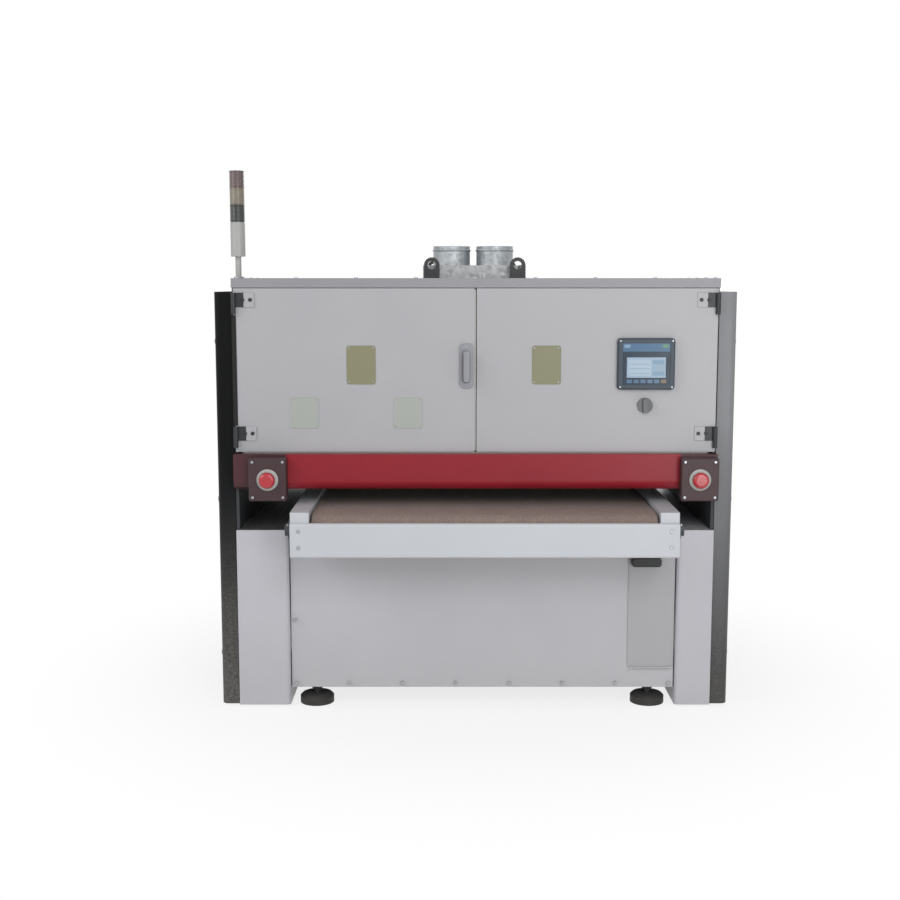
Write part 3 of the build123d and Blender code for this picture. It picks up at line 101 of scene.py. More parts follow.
# Makes a material and sets it on the CAD nodes that it covers. A surface is a shader node, or what goes into
# a principled shader.
def makeFinish(surface, name, look, covers=""):
    material = bpy.data.materials.new(name)
    material.use_nodes = True
    material.node_tree.nodes.clear()
    add = partial(addNode, material.node_tree)
    made = surface(add, add("TexCoord").outputs["Object"], look)
    add("OutputMaterial", {"Surface": add("BsdfPrincipled", made) if isinstance(made, dict) else made})
    for node in covers.split():
        for slot in nodes[node].material_slots:
            slot.material = material
    finish[name] = material


def makeFinishes(surface, base, rows):  # rows of name, colour, shade, what else differs, CAD nodes
    for name, color, shade, more, covers in rows:
        makeFinish(surface, name, {**base, "color": color, "shade": shade, **more}, covers)


# Soft studio light on a pale floor that fades to the white background
studioLook = {
    "worldLight": 0.40,
    "lamps": (  # place, aim, size in metres, power in watts
        ((0.9, -5.0, 3.2), (0, 0, 0.9), (2.4, 1.8), 67),
        ((-4.2, -3.0, 3.4), (0, 0, 0.8), (2.6, 2.6), 74),
        ((1.9, -5.0, 1.0), (-0.1, 0, 0.4), (1.3, 1.5), 42),
        ((0.5, 4.5, 4.2), (0, 0, 1.0), (3.5, 2.0), 84),
    ),
    "floorColor": "#f6f6f6",
    "floorHalf": 14.0,
    "nearWhite": 0.80,  # share of plain white in the floor as it is seen, under the machine
    "fadeFrom": 0.8,
    "fadeTo": 2.0,
}


def studioFloor(add, place, look):  # matt near the machine, plain white further off
    away = add("VectorMath LENGTH", place)
    fade = add("MapRange", {"Value": away, "From Min": look["fadeFrom"], "From Max": look["fadeTo"],
                            "To Min": look["nearWhite"]}, interpolation_type="SMOOTHSTEP")
    path = add("LightPath").outputs
    seen = add("Math MAXIMUM", path["Is Camera Ray"], path["Is Glossy Ray"])
    blend = add("Math MULTIPLY", fade, seen)
    matt = add("BsdfDiffuse", {"Color": look["floorColor"]})
    return add("MixShader", blend, matt, add("Emission", {"Color": "#ffffff", "Strength": 1.0}))


def makeStudio(look):
    world = bpy.data.worlds.new("studioWorld")
    scene.world = world
    world.use_nodes = True
    world.node_tree.nodes.clear()
    add = partial(addNode, world.node_tree)
    path = add("LightPath").outputs
    seen = add("Math MAXIMUM", path["Is Camera Ray"], path["Is Glossy Ray"])
    seen = add("Math MAXIMUM", seen, path["Is Transmission Ray"])
    strength = add("MapRange", {"Value": seen, "To Min": look["worldLight"], "To Max": 1.0})
    add("OutputWorld", {"Surface": add("Background", {"Color": "#ffffff", "Strength": strength})})

    for index, (place, aim, size, power) in enumerate(look["lamps"]):
        lampData = bpy.data.lights.new(f"softbox{index}", "AREA")
        lampData.shape = "RECTANGLE"
        lampData.size, lampData.size_y = size
        lampData.energy = power
        lamp = addObject(f"softbox{index}", lampData)
        lamp.location = place
        lamp.rotation_euler = (Vector(aim) - Vector(place)).to_track_quat("-Z", "Y").to_euler()
        lamp.visible_camera = False

    half = look["floorHalf"]
    mesh = bpy.data.meshes.new("studioFloor")
    corners = [(-half, -half, 0), (half, -half, 0), (half, half, 0), (-half, half, 0)]
    mesh.from_pydata(corners, [], [(0, 1, 2, 3)])
    makeFinish(studioFloor, "paleStudioFloor", look)
    mesh.materials.append(finish["paleStudioFloor"])
    floor = addObject("studioFloor", mesh)


makeStudio(studioLook)
print("camera and studio made")


# Sprayed or powder coated steel: faint orange peel, uneven gloss, rubbed edges, floor dust
def paintedSheet(add, place, look):
    cloud = add("TexNoise", {"Vector": place, "Scale": 1000 / look["cloudMm"], "Detail": 4.0})
    tint = add("Mix RGBA", {0: cloud, 6: look["shade"], 7: look["color"]})
    bevel = add("Bevel", {"Radius": look["edgeMm"] * mm}, samples=4)
    turn = add("VectorMath DOT_PRODUCT", bevel, add("NewGeometry").outputs["Normal"])
    sound, rubbed = look["edgeTurns"]
    edge = add("MapRange", {"Value": turn, "From Min": sound, "From Max": rubbed, "To Max": look["rub"]})
    chips = add("TexNoise", {"Vector": place, "Scale": 1000 / look["chipMm"], "Detail": 3.0})
    worn = add("Math MULTIPLY", edge, chips)
    coat = add("Mix RGBA", {0: worn, 6: tint, 7: look["bare"]})
    spot = add("SeparateXYZ", place).outputs
    low = add("MapRange", {"Value": spot["Z"], "From Max": look["dustTop"], "To Min": look["dust"],
                           "To Max": 0.0})
    settled = add("Math MULTIPLY", low, chips)
    coat = add("Mix RGBA", {0: settled, 6: coat, 7: look["dustColor"]})
    # this second colour also carries painted shade on the left side door's fold and a painted highlight on
    # the right one's
    if "second" in look:  # a second colour on what lies forward of one place and beyond another
        ahead = add("Math LESS_THAN", spot["Y"], look["forwardOf"])
        aside = add("Math SUBTRACT", spot["X"], look["middle"])
        aside = add("Math ABSOLUTE", aside)
        aside = add("Math GREATER_THAN", aside, look["beyond"])
        other = add("Math MULTIPLY", ahead, aside)
        bottom, top = look["secondFades"]
        comes = add("MapRange", {"Value": spot["Z"], "From Min": bottom, "From Max": top})
        other = add("Math MULTIPLY", other, comes)
        coat = add("Mix RGBA", {0: other, 6: coat, 7: look["second"]})
    gloss = add("MapRange", {"Value": cloud, "To Min": look["rough"] - 0.05, "To Max": look["rough"] + 0.06})
    peel = add("TexNoise", {"Vector": place, "Scale": 1000 / look["peelMm"], "Detail": 2.0})
    bump = add("Bump", {"Height": peel, "Distance": look["peelDepthMm"] * mm, "Strength": look["peel"],
                        "Normal": bevel})
    return {
        "Base Color": coat, "Roughness": gloss, "Normal": bump, "Specular IOR Level": look["specular"],
        "Coat Weight": look["coat"], "Coat Roughness": 0.25}


sheetBase = {
    "cloudMm": 260, "edgeMm": 2.2, "rub": 0.55, "chipMm": 9, "dustTop": 0.35, "dust": 0.16,
    "dustColor": "#a59c8e", "peelMm": 4.0, "peelDepthMm": 0.25, "peel": 0.22, "rough": 0.42, "coat": 0.08,
    "specular": 0.4, "middle": 0.0, "beyond": 0.0,
    "edgeTurns": (0.985, 0.8),  # cosines at which an edge starts to rub, and is rubbed most
    "secondFades": (-2.0, -1.0),  # heights between which the second colour comes in
}
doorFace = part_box("roof_panel")[0][1]  # the doors are flush with the roof's front edge
knuckles = {"bare": "#d2d2d2", "second": "#24262a", "forwardOf": doorFace - 0.4 * mm, "beyond": 0.856}
sideCoat = {
    "bare": "#4b4c50", "peelMm": 2.2, "peel": 0.5, "peelDepthMm": 0.4, "coat": 0.0, "specular": 0.3,
    "dust": 0.42, "dustTop": 0.85, "dustColor": "#8d8a85",
    "forwardOf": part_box("left_side_door")[0][1] + 12 * mm}
makeFinishes(paintedSheet, sheetBase, (
    # satin sheet steel, the cabinet's main grey
    ("lightGreyPowderCoat", "#aeaeb1", "#a6a6aa", {"bare": "#d2d2d2"},
     "base_rear_panel rear_panel service_hatch"),
    # the same coat on the doors, with blackened hinge knuckles
    ("lightGreyDoorCoat", "#aeaeb1", "#a6a6aa", knuckles, "left_front_door right_front_door"),
    # a shade darker on the roof pan; lighter under the table, as painted light against the table's shadow;
    # paler on the columns, palest on the table
    ("midGreyPowderCoat", "#949498", "#8d8d91", {"bare": "#bcbcbc"}, "roof_panel"),
    ("lightGreyBaseCoat", "#bdbdc1", "#b5b5ba", {"bare": "#d2d2d2"}, "base_front_panel"),
    ("paleGreyPowderCoat", "#bfbfc5", "#b8b8be", {"bare": "#dcdcdc"}, "base_boxes"),
    ("offWhitePowderCoat", "#c3c6cb", "#bcbfc4", {"bare": "#e4e4e4"}, "table_rails table_end_covers"),
    # coarse structure coat that hides scratches
    ("charcoalTexturedCoat", "#26272a", "#202123", sideCoat, ""),
    # painted shade on the left door's front fold: nearly black above 1.0 m, fading out down to 0.4 m, and
    # paler low down
    ("charcoalCoatBlackFold", "#26272a", "#202123", {
        **sideCoat, "second": "#08090a", "secondFades": (0.40, 1.00), "specular": 0.12, "dust": 0.80},
     "left_side_door"),
    # painted highlight on the right door's front fold: mid grey, coming in between 0.1 and 1.1 m
    ("charcoalCoatGreyFold", "#26272a", "#202123", {
        **sideCoat, "second": "#858689", "secondFades": (0.10, 1.10)}, "right_side_door"),
    # sprayed enamel, glossier than the powder coat, with dark ends beside the stops
    ("redEnamel", "#93202c", "#881b27", {
        "bare": "#c46a6a", "rough": 0.36, "coat": 0.06, "specular": 0.25, "dust": 0.0,
        "second": "#4b2a30", "forwardOf": 0.0, "middle": 0.030, "beyond": 0.735}, "front_beam"),
    # matt structural paint inside the machine
    ("darkFramePaint", "#3a3c3f", "#333538", {"bare": "#6a6a68", "rough": 0.6, "coat": 0.0},
     "side_frames cross_beams motor_shelf infeed_press_beam outfeed_press_beam"),
    # enamel over a rough casting
    ("greyBlueMotorEnamel", "#5d666f", "#555e67", {"bare": "#8c9094", "peelMm": 2.5, "peel": 0.45},
     "brush_motors conveyor_gearmotor"),
    # sand-cast skin under paint
    ("paintedCastIron", "#4c4f52", "#434649", {
        "bare": "#77787a", "peelMm": 1.8, "peel": 0.6, "peelDepthMm": 0.5, "rough": 0.55, "coat": 0.0},
     "brush_bearings lift_jacks roller_bearings front_brush_pulley front_motor_pulley rear_brush_pulley "
     "rear_motor_pulley"),
    # oil-blacked steel, edges rubbed to grey
    ("blackOxideSteel", "#26272a", "#1f2022", {"bare": "#6b6b6b", "rough": 0.38, "peel": 0.15},
     "lifting_eyes hinges"),
    # blank plates: muted olive yellow, and a shade off the door
    ("oliveEnamelPlate", "#86856a", "#7f7e62", {"bare": "#a9a78d", "rough": 0.45, "dust": 0.0}, ""),
    ("paleGreenGreyPlate", "#a8aca7", "#a1a5a0", {"bare": "#c0c2be", "rough": 0.4, "dust": 0.0}, ""),
))


# Metal or plastic with one fine grain in its colour, gloss and relief
def grained(add, place, look):
    if "stretch" in look:
        place = add("Mapping", {"Vector": place, "Scale": look["stretch"]})
    grain = add("TexNoise", {"Vector": place, "Scale": 1000 / look["grainMm"], "Detail": look["detail"]})
    tint = add("Mix RGBA", {0: grain, 6: look["shade"], 7: look["color"]})
    smooth, coarse = look["rough"] - look["spread"][0], look["rough"] + look["spread"][1]
    gloss = add("MapRange", {"Value": grain, "To Min": smooth, "To Max": coarse})
    bevel = add("Bevel", {"Radius": look["edgeMm"] * mm}, samples=4)
    bump = add("Bump", {"Height": grain, "Distance": look["depthMm"] * mm, "Strength": look["bump"],
                        "Normal": bevel})
    return {"Base Color": tint, "Roughness": gloss, "Normal": bump, "Metallic": look["metallic"],
            "Coat Weight": look["coat"], "Coat Roughness": 0.12}


metalBase = {  # a stretched grain gives the lines of grinding or drawing
    "detail": 5.0, "spread": (0.1, 0.12), "edgeMm": 1.2, "depthMm": 0.1, "bump": 0.25, "metallic": 1.0,
    "coat": 0.0}
makeFinishes(grained, metalBase, (
    # grey, ground along the feed
    ("groundSteel", "#a9abad", "#8f9193", {"grainMm": 2.0, "stretch": (1.0, 0.06, 1.0), "rough": 0.36},
     "press_guides table_bed idler_roller drive_roller lift_screws"),
    # drawn lines along the roller
    ("extrudedAluminium", "#c3c5c8", "#adafb2", {"grainMm": 1.5, "stretch": (0.04, 1.0, 1.0), "rough": 0.34},
     "front_brush_core rear_brush_core"),
    # tumbled zinc, dull silver
    ("satinZincCasting", "#88898d", "#75767b", {"grainMm": 1.2, "stretch": (1.0, 1.0, 0.5), "rough": 0.4},
     "handle_plate door_handle"),
    # bright zinc with a cool cast
    ("zincPlatedScrew", "#b4b8bc", "#9a9ea3", {"grainMm": 0.6, "rough": 0.3}, ""),
))


# Hot-dip zinc: crystal spangle about a centimetre across
def galvanisedSheet(add, place, look):
    spangle = add("TexVoronoi", {"Vector": place, "Scale": 1000 / look["spangleMm"]})
    value = add("SeparateColor", spangle.outputs["Color"]).outputs
    tint = add("Mix RGBA", {0: value[0], 6: look["shade"], 7: look["color"]})
    gloss = add("MapRange", {"Value": value[1], "To Min": 0.44, "To Max": 0.60})
    bevel = add("Bevel", {"Radius": look["edgeMm"] * mm}, samples=4)
    return {"Base Color": tint, "Roughness": gloss, "Normal": bevel, "Metallic": 0.85}


makeFinishes(galvanisedSheet, {"spangleMm": 14, "edgeMm": 1.5}, (
    ("galvanisedDuctSheet", "#b2b6b9", "#999ea1", {}, "brush_hoods dust_spigots"),
    # a darker copy of the same zinc on the plenum: painted shade
    ("weatheredDuctSheet", "#a3a4a5", "#8c8d8e", {}, "dust_plenum"),  # duller
))


plasticBase = {  # injection moulded: spark grain, soft highlights on the edges
    "grainMm": 1.4, "detail": 3.0, "spread": (0.06, 0.06), "rough": 0.5, "edgeMm": 1.5, "depthMm": 0.2,
    "bump": 0.3, "metallic": 0.0, "coat": 0.0}
lensBase = {"grainMm": 8.0, "rough": 0.18, "edgeMm": 0.8, "bump": 0.02, "coat": 0.6}
makeFinishes(grained, plasticBase, (
    # grained black, dull
    ("mouldedBlackNylon", "#242527", "#1c1d1f", {"grainMm": 1.2}, "hatch_handle"),
    # satin blue-grey frame of the operator panel
    ("blueGreyBezelPlastic", "#273643", "#22303c", {"rough": 0.42, "bump": 0.25}, "hmi_bezel"),
    # grained box of the stop button, a little red in it
    ("darkWarmGreyPolyamide", "#3b2327", "#331d21", {}, "estop_boxes"),
    # grained mid grey
    ("midGreyKnobPlastic", "#66686b", "#5c5e61", {"grainMm": 1.2, "rough": 0.45, "edgeMm": 1.2},
     "main_switch"),
    # smooth glossy red
    ("glossRedButton", "#b3202a", "#a81c26", {"grainMm": 4.0, "rough": 0.25, "bump": 0.05, "coat": 0.5},
     "left_estop_button right_estop_button"),
    # pale polycarbonate housing
    ("paleGreyHousing", "#aaaba8", "#a1a29f", {
        "grainMm": 1.6, "rough": 0.4, "edgeMm": 1.0, "bump": 0.2, "coat": 0.1}, "tower_stem"),
    # tinted polycarbonate, dark while unlit
    ("unlitRedLens", "#655252", "#594747", lensBase, "tower_red_lens"),
    ("unlitAmberLens", "#827a6c", "#756d5e", lensBase, "tower_amber_lens"),
    ("unlitGreenLens", "#212b25", "#1a221e", lensBase, "tower_green_lens"),
))


# Vulcanised rubber: pebbled grip face, chalky wear in the second colour
def rubberSheet(add, place, look):
    pebble = add("TexVoronoi", {"Vector": place, "Scale": 1000 / look["pebbleMm"]}, feature="SMOOTH_F1")
    chalk = add("TexNoise", {"Vector": place, "Scale": 1000 / look["chalkMm"], "Detail": 5.0})
    mask = add("Math MULTIPLY", chalk, pebble)
    tint = add("Mix RGBA", {0: mask, 6: look["color"], 7: look["shade"]})
    gloss = add("MapRange", {"Value": chalk, "To Min": look["rough"] - 0.06, "To Max": look["rough"] + 0.08})
    bump = add("Bump", {"Height": pebble, "Distance": look["depthMm"] * mm, "Strength": 0.5}, invert=True)
    return {"Base Color": tint, "Roughness": gloss, "Normal": bump, "Sheen Weight": 0.08}


makeFinishes(rubberSheet, {"pebbleMm": 3, "depthMm": 0.2}, (
    # rough-top grip rubber, dusted with wood flour
    ("greyBrownFeedBelt", "#776660", "#a8978c", {"pebbleMm": 7, "chalkMm": 90, "depthMm": 1.2, "rough": 0.75},
     "conveyor_belt front_brush_strips rear_brush_strips"),
    # ground smooth, dark grey
    ("groundRollerRubber", "#37383a", "#6a6763", {"chalkMm": 60, "rough": 0.62},
     "infeed_press_roller outfeed_press_roller"),
    # neoprene belt back
    ("blackDriveBelt", "#1c1c1d", "#3a3a3a", {"chalkMm": 50, "rough": 0.6}, "drive_belts"),
    # moulded mount, a little dusty
    ("blackFootRubber", "#1d1d1e", "#4b4742", {"chalkMm": 40, "rough": 0.68}, "levelling_feet"),
    # extruded strip that swallows light, laid along the left front door's outer edge as painted shade
    ("mattBlackEdgeRubber", "#0b0b0c", "#161617", {"chalkMm": 40, "depthMm": 0.1, "rough": 0.8}, ""),
    # red-brown grit on cloth; grains drawn coarse enough to show
    ("aluminiumOxideCloth", "#6e4a34", "#a58a70", {
        "pebbleMm": 1.6, "chalkMm": 30, "depthMm": 0.3, "rough": 0.85}, ""),
    # pale straw-coloured plant fibre
    ("tampicoFibre", "#b39a6c", "#d2c096", {
        "pebbleMm": 2.5, "chalkMm": 25, "depthMm": 0.1, "rough": 0.8}, ""),
))


# A zinc plate with rows of moulded devices, each row its own plastic
def controlBlocks(add, place, look):
    spot = add("SeparateXYZ", place).outputs
    grain = add("TexNoise", {"Vector": place, "Scale": 1000 / look["grainMm"], "Detail": 3.0})
    shade = look["rows"][0][1]
    for start, code in look["rows"][1:]:
        above = add("Math GREATER_THAN", spot["Z"], start)
        shade = add("Mix RGBA", {0: above, 6: shade, 7: code})
    proud = add("Math GREATER_THAN", spot["X"], look["plateTo"])
    shade = add("Mix RGBA", {0: proud, 6: look["plate"], 7: shade})
    dim = add("MapRange", {"Value": grain, "To Min": 0.86, "To Max": 1.0})
    shade = add("VectorMath MULTIPLY", shade, dim)
    bare = add("Math SUBTRACT", 0.7, proud, use_clamp=True)
    bevel = add("Bevel", {"Radius": look["edgeMm"] * mm}, samples=4)
    bump = add("Bump", {"Height": grain, "Distance": 0.2 * mm, "Strength": 0.3, "Normal": bevel})
    return {"Base Color": shade, "Metallic": bare, "Roughness": 0.48, "Normal": bump}


gearLow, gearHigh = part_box("control_panel")
gearGrid = {"columns": 8, "pitchY": 0.055, "pitchZ": 0.110}
gearMiddle = (gearLow[2] + gearHigh[2]) / 2
# dark drives below, black contactors, pale breakers on top
makeFinish(controlBlocks, "mouldedControlDevices", {
    "rows": ((0, "#565a5f"), (gearMiddle - gearGrid["pitchZ"] / 2, "#2c2d30"),
             (gearMiddle + gearGrid["pitchZ"] / 2, "#c4c6c6")),
    "plateTo": gearLow[0] + 3.4 * mm, "plate": "#aeb2b4", "grainMm": 1.6, "edgeMm": 1.2}, "control_panel")


# Glass over a lit display: plain tiles, no words
def touchScreen(add, place, look):
    low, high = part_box("hmi_screen")
    wide, tall = high[0] - low[0], high[2] - low[2]
    shade = look["back"]
    for left, right, bottom, top, code in look["tiles"]:  # edges as shares of the screen
        middle = (low[0] + wide * (left + right) / 2, 0, low[2] + tall * (bottom + top) / 2)
        half = (wide * (right - left) / 2, 0, tall * (top - bottom) / 2)
        away = add("VectorMath SUBTRACT", place, middle)
        away = add("VectorMath ABSOLUTE", away)
        spot = add("SeparateXYZ", add("VectorMath SUBTRACT", away, half)).outputs
        edge = add("Math MAXIMUM", spot["X"], spot["Z"])
        inside = add("Math LESS_THAN", edge, 0.0)
        shade = add("Mix RGBA", {0: inside, 6: shade, 7: code})
    smear = add("TexNoise", {"Vector": place, "Scale": 1000 / look["smearMm"], "Detail": 3.0})
    gloss = add("MapRange", {"Value": smear, "To Min": 0.12, "To Max": 0.3})
    return {
        "Base Color": shade, "Emission Color": shade, "Roughness": gloss, "Emission Strength": look["glow"],
        "Specular IOR Level": look["specular"]}


screenTiles = [  # header, its two lamps, the pale field and its sheet
    (0.0, 1.0, 0.80, 1.0, "#4a6a88"), (0.03, 0.16, 0.89, 0.97, "#7d97ac"),
    (0.84, 0.97, 0.89, 0.97, "#5e8a6c"), (0.09, 0.91, 0.17, 0.66, "#93a8ba"),
    (0.12, 0.60, 0.22, 0.61, "#a3b6c6")]
screenTiles += [(0.63, 0.88, 0.22 + 0.135 * step, 0.325 + 0.135 * step, code)
                for step, code in enumerate(("#7c97ac", "#8ba3b5", "#7c97ac"))]
screenTiles += [(0.15, 0.57, 0.27 + 0.11 * step, 0.285 + 0.11 * step, "#8096a8") for step in range(3)]
screenTiles += [(0.09 + 0.145 * step, 0.20 + 0.145 * step, 0.04, 0.125, code)
                for step, code in enumerate(("#4e6b85",) * 3 + ("#57748c",) * 2 + ("#7a6a58",))]
# dim slate display with pale tiles
makeFinish(touchScreen, "litTouchScreen", {
    "back": "#253645", "tiles": screenTiles, "smearMm": 40, "glow": 0.06, "specular": 0.2}, "hmi_screen")
print("materials made and set:", len(bpy.data.materials))


def addPiece(name, mesh, body):
    piece = addObject(name, mesh)
    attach(piece, body)
    return piece


def addShape(name, shape, finishName, body):  # a piece from a closed bmesh
    bmesh.ops.recalc_face_normals(shape, faces=shape.faces)
    mesh = bpy.data.meshes.new(name)
    shape.to_mesh(mesh)
    shape.free()
    mesh.materials.append(finish[finishName])
    return addPiece(name, mesh, body)


def addTurned(name, profile, middle, axis, segments, finishName, body):  # spins (radius, height) pairs
    shape = bmesh.new()
    rings = []
    turns = [math.tau * step / segments for step in range(segments)]
    for radius, height in profile:
        around = [(radius * math.cos(turn), radius * math.sin(turn), height) for turn in turns]
        rings.append([shape.verts.new(point) for point in (around if radius else [(0, 0, height)])])
    for low, high in zip(rings, rings[1:]):
        for step in range(segments):
            after = (step + 1) % segments
            corners = [low[step % len(low)], low[after % len(low)]]
            corners += [high[after % len(high)], high[step % len(high)]]
            shape.faces.new(list(dict.fromkeys(corners)))
    turn = Vector(axis).to_track_quat("Z", "Y").to_matrix().to_4x4()
    bmesh.ops.transform(shape, matrix=Matrix.Translation(middle) @ turn, verts=shape.verts)
    piece = addShape(name, shape, finishName, body)
    piece.data.shade_smooth()
    piece.data.set_sharp_from_angle(angle=math.radians(32))
    return piece


def addPrisms(name, prisms, finishName, body):  # each prism is the corner points of its two ends
    shape = bmesh.new()
    for ends in prisms:
        rings = [[shape.verts.new(point) for point in end] for end in ends]
        count = len(rings[0])
        for step in range(count):
            after = (step + 1) % count
            shape.faces.new((rings[0][step], rings[0][after], rings[1][after], rings[1][step]))
        for ring in rings:
            shape.faces.new(ring)
    return addShape(name, shape, finishName, body)


# A tree that puts a copy of a shape on each point, turned to its facing, with the sizes as inputs. A lean is
# the least and most angles of a random turn and its seed, a cut the same for the share of the height.
def makeTree(name, shape, sizes, finishName, axis="Z", pivot="AUTO", lean=None, cut=None):
    tree = bpy.data.node_groups.new(name, "GeometryNodeTree")
    tree.interface.new_socket("Geometry", in_out="INPUT", socket_type="NodeSocketGeometry")
    for size in sizes.split():
        tree.interface.new_socket(size, in_out="INPUT", socket_type="NodeSocketFloat")
    tree.interface.new_socket("Geometry", in_out="OUTPUT", socket_type="NodeSocketGeometry")
    add = partial(addNode, tree)
    size = add("GroupInput").outputs
    copies = {"Points": size["Geometry"], "Instance": shape(add, size)}
    facing = add("InputNamedAttribute FLOAT_VECTOR", {"Name": "facing"})
    aim = add("AlignRotationToVector", {"Vector": facing}, axis=axis, pivot_axis=pivot)
    if lean:
        turn = add("RandomValue FLOAT_VECTOR", {"Min": lean[0], "Max": lean[1], "Seed": lean[2]})
        aim = add("RotateRotation", aim, add("EulerToRotation", turn), rotation_space="LOCAL")
    if cut:
        share = add("RandomValue FLOAT", {2: cut[0], 3: cut[1], "Seed": cut[2]})
        copies["Scale"] = add("CombineXYZ", 1.0, 1.0, share)
    real = add("RealizeInstances", add("InstanceOnPoints", {**copies, "Rotation": aim}))
    add("GroupOutput", add("SetMaterial", {"Geometry": real, "Material": finish[finishName]}))
    return tree


# A piece from a tree's copies on points, with one facing for all or a list
def addRow(name, tree, sizes, places, facing, body):
    mesh = bpy.data.meshes.new(name + "Points")
    mesh.from_pydata(places, [], [])
    facings = facing if isinstance(facing, list) else [facing] * len(places)
    field = mesh.attributes.new("facing", "FLOAT_VECTOR", "POINT")
    field.data.foreach_set("vector", [part for each in facings for part in each])
    holder = addObject(name + "Points", mesh)
    modifier = holder.modifiers.new("grow", "NODES")
    modifier.node_group = tree
    for item in tree.interface.items_tree:
        if item.in_out == "INPUT" and item.name in sizes:
            modifier[item.identifier] = sizes[item.name]
    grown = bpy.data.meshes.new_from_object(holder.evaluated_get(bpy.context.evaluated_depsgraph_get()))
    grown.name = name
    bpy.data.objects.remove(holder)
    return addPiece(name, grown, body)


hexCorner = 0.5774  # a hexagon's corner radius, from its width across flats


def screwShape(add, size):  # socket screws: low round heads with a hexagon recess
    half = add("Math MULTIPLY", size["Head"], 0.5)
    head = add("MeshCylinder", {"Vertices": 20, "Side Segments": 3, "Radius": half, "Depth": size["Height"]})
    place = add("InputPosition")
    up = add("SeparateXYZ", place).outputs["Z"]
    top = add("Math GREATER_THAN", up, 0.0)
    crown = add("Math DIVIDE", up, size["Height"])
    narrow = add("MapRange", {"Value": crown, "From Min": 0.1, "From Max": 0.5, "To Min": 1.0,
                              "To Max": 0.78})
    tapered = add("VectorMath MULTIPLY", place, add("CombineXYZ", narrow, narrow, 1.0))
    head = add("SetPosition", {"Geometry": head, "Selection": top, "Position": tapered})
    keyRadius = add("Math MULTIPLY", size["Key"], hexCorner)
    key = add("MeshCylinder", {"Vertices": 6, "Radius": keyRadius, "Depth": size["Height"]})
    lift = add("Math MULTIPLY", size["Height"], 0.45)
    key = add("Transform", {"Geometry": key, "Translation": add("CombineXYZ", {2: lift})})
    head = add("MeshBoolean DIFFERENCE", {"Mesh 1": head, "Mesh 2": key})
    return head


def discShape(add, size):  # low round discs with a chamfer
    wide = add("Math MULTIPLY", size["Head"], 0.5)
    narrow = add("Math MULTIPLY_ADD", size["Height"], -0.6, wide)
    return add("MeshCone", {"Vertices": 24, "Radius Bottom": wide, "Radius Top": narrow,
                            "Depth": size["Height"]})


def blockShape(add, size):  # small blocks that stand out along X from their points
    cube = add("MeshCube", {"Size": add("CombineXYZ", size["Proud"], size["Length"], size["Height"])})
    half = add("Math MULTIPLY", size["Proud"], 0.5)
    cube = add("Transform", {"Geometry": cube, "Translation": add("CombineXYZ", half)})
    return cube


def hexShape(add, size):  # hexagon bolt heads on washers
    corner = add("Math MULTIPLY", size["Across"], hexCorner)
    head = add("MeshCylinder", {"Vertices": 6, "Radius": corner, "Depth": size["Height"]})
    half = add("Math MULTIPLY", size["Height"], 0.5)
    head = add("Transform", {"Geometry": head, "Translation": add("CombineXYZ", {2: half})})
    wide = add("Math MULTIPLY", size["Across"], 0.9)
    thin = add("Math MULTIPLY", size["Height"], 0.4)
    washer = add("MeshCylinder", {"Vertices": 24, "Radius": wide, "Depth": thin})
    return add("JoinGeometry", [head, washer])


def louvreShape(add, size):  # hoods pressed outwards along X, flat on their lower side
    sheet = add("MeshCube", {"Size": (1, 1, 1), "Vertices X": 2, "Vertices Y": 13, "Vertices Z": 6})
    spot = add("SeparateXYZ", add("InputPosition")).outputs
    front = add("Math GREATER_THAN", spot["X"], 0.0)
    across = add("Math MULTIPLY", spot["Y"], 2.0)
    across = add("Math POWER", across, 6.0)
    ends = add("Math SUBTRACT", 1.0, across, use_clamp=True)
    up = add("Math ADD", spot["Z"], 0.5)
    fall = add("Math POWER", up, 2.0)
    fall = add("Math SUBTRACT", 1.0, fall, use_clamp=True)
    swell = add("Math MULTIPLY", ends, fall)
    swell = add("Math SQRT", swell)
    out = add("Math MULTIPLY_ADD", swell, size["Proud"], 0.6 * mm)  # its rim stands out a little too
    out = add("Math MULTIPLY", out, front)
    along = add("Math MULTIPLY", spot["Y"], size["Length"])
    rise = add("Math MULTIPLY", up, size["Height"])
    hood = add("SetPosition", {"Geometry": sheet, "Position": add("CombineXYZ", out, along, rise)})
    return hood


def guardShape(add, size):  # a fan guard: wire rings and spokes
    section = add("CurvePrimitiveCircle", {"Resolution": 6, "Radius": size["Wire"]})
    parts = []
    for share in (0.2, 0.36, 0.52, 0.68, 0.84, 1.0):
        reach = add("Math MULTIPLY", size["Radius"], share)
        ring = add("CurvePrimitiveCircle", {"Resolution": 40, "Radius": reach})
        parts.append(add("CurveToMesh", {"Curve": ring, "Profile Curve": section}))
    span = add("Math MULTIPLY", size["Radius"], 2.0)
    thick = add("Math MULTIPLY", size["Wire"], 2.0)
    bar = add("MeshCube", {"Size": add("CombineXYZ", span, thick, thick)})
    for turn in (0, math.pi / 3, math.tau / 3):
        parts.append(add("Transform", {"Geometry": bar, "Rotation": (0, 0, turn)}))
    return add("JoinGeometry", parts)


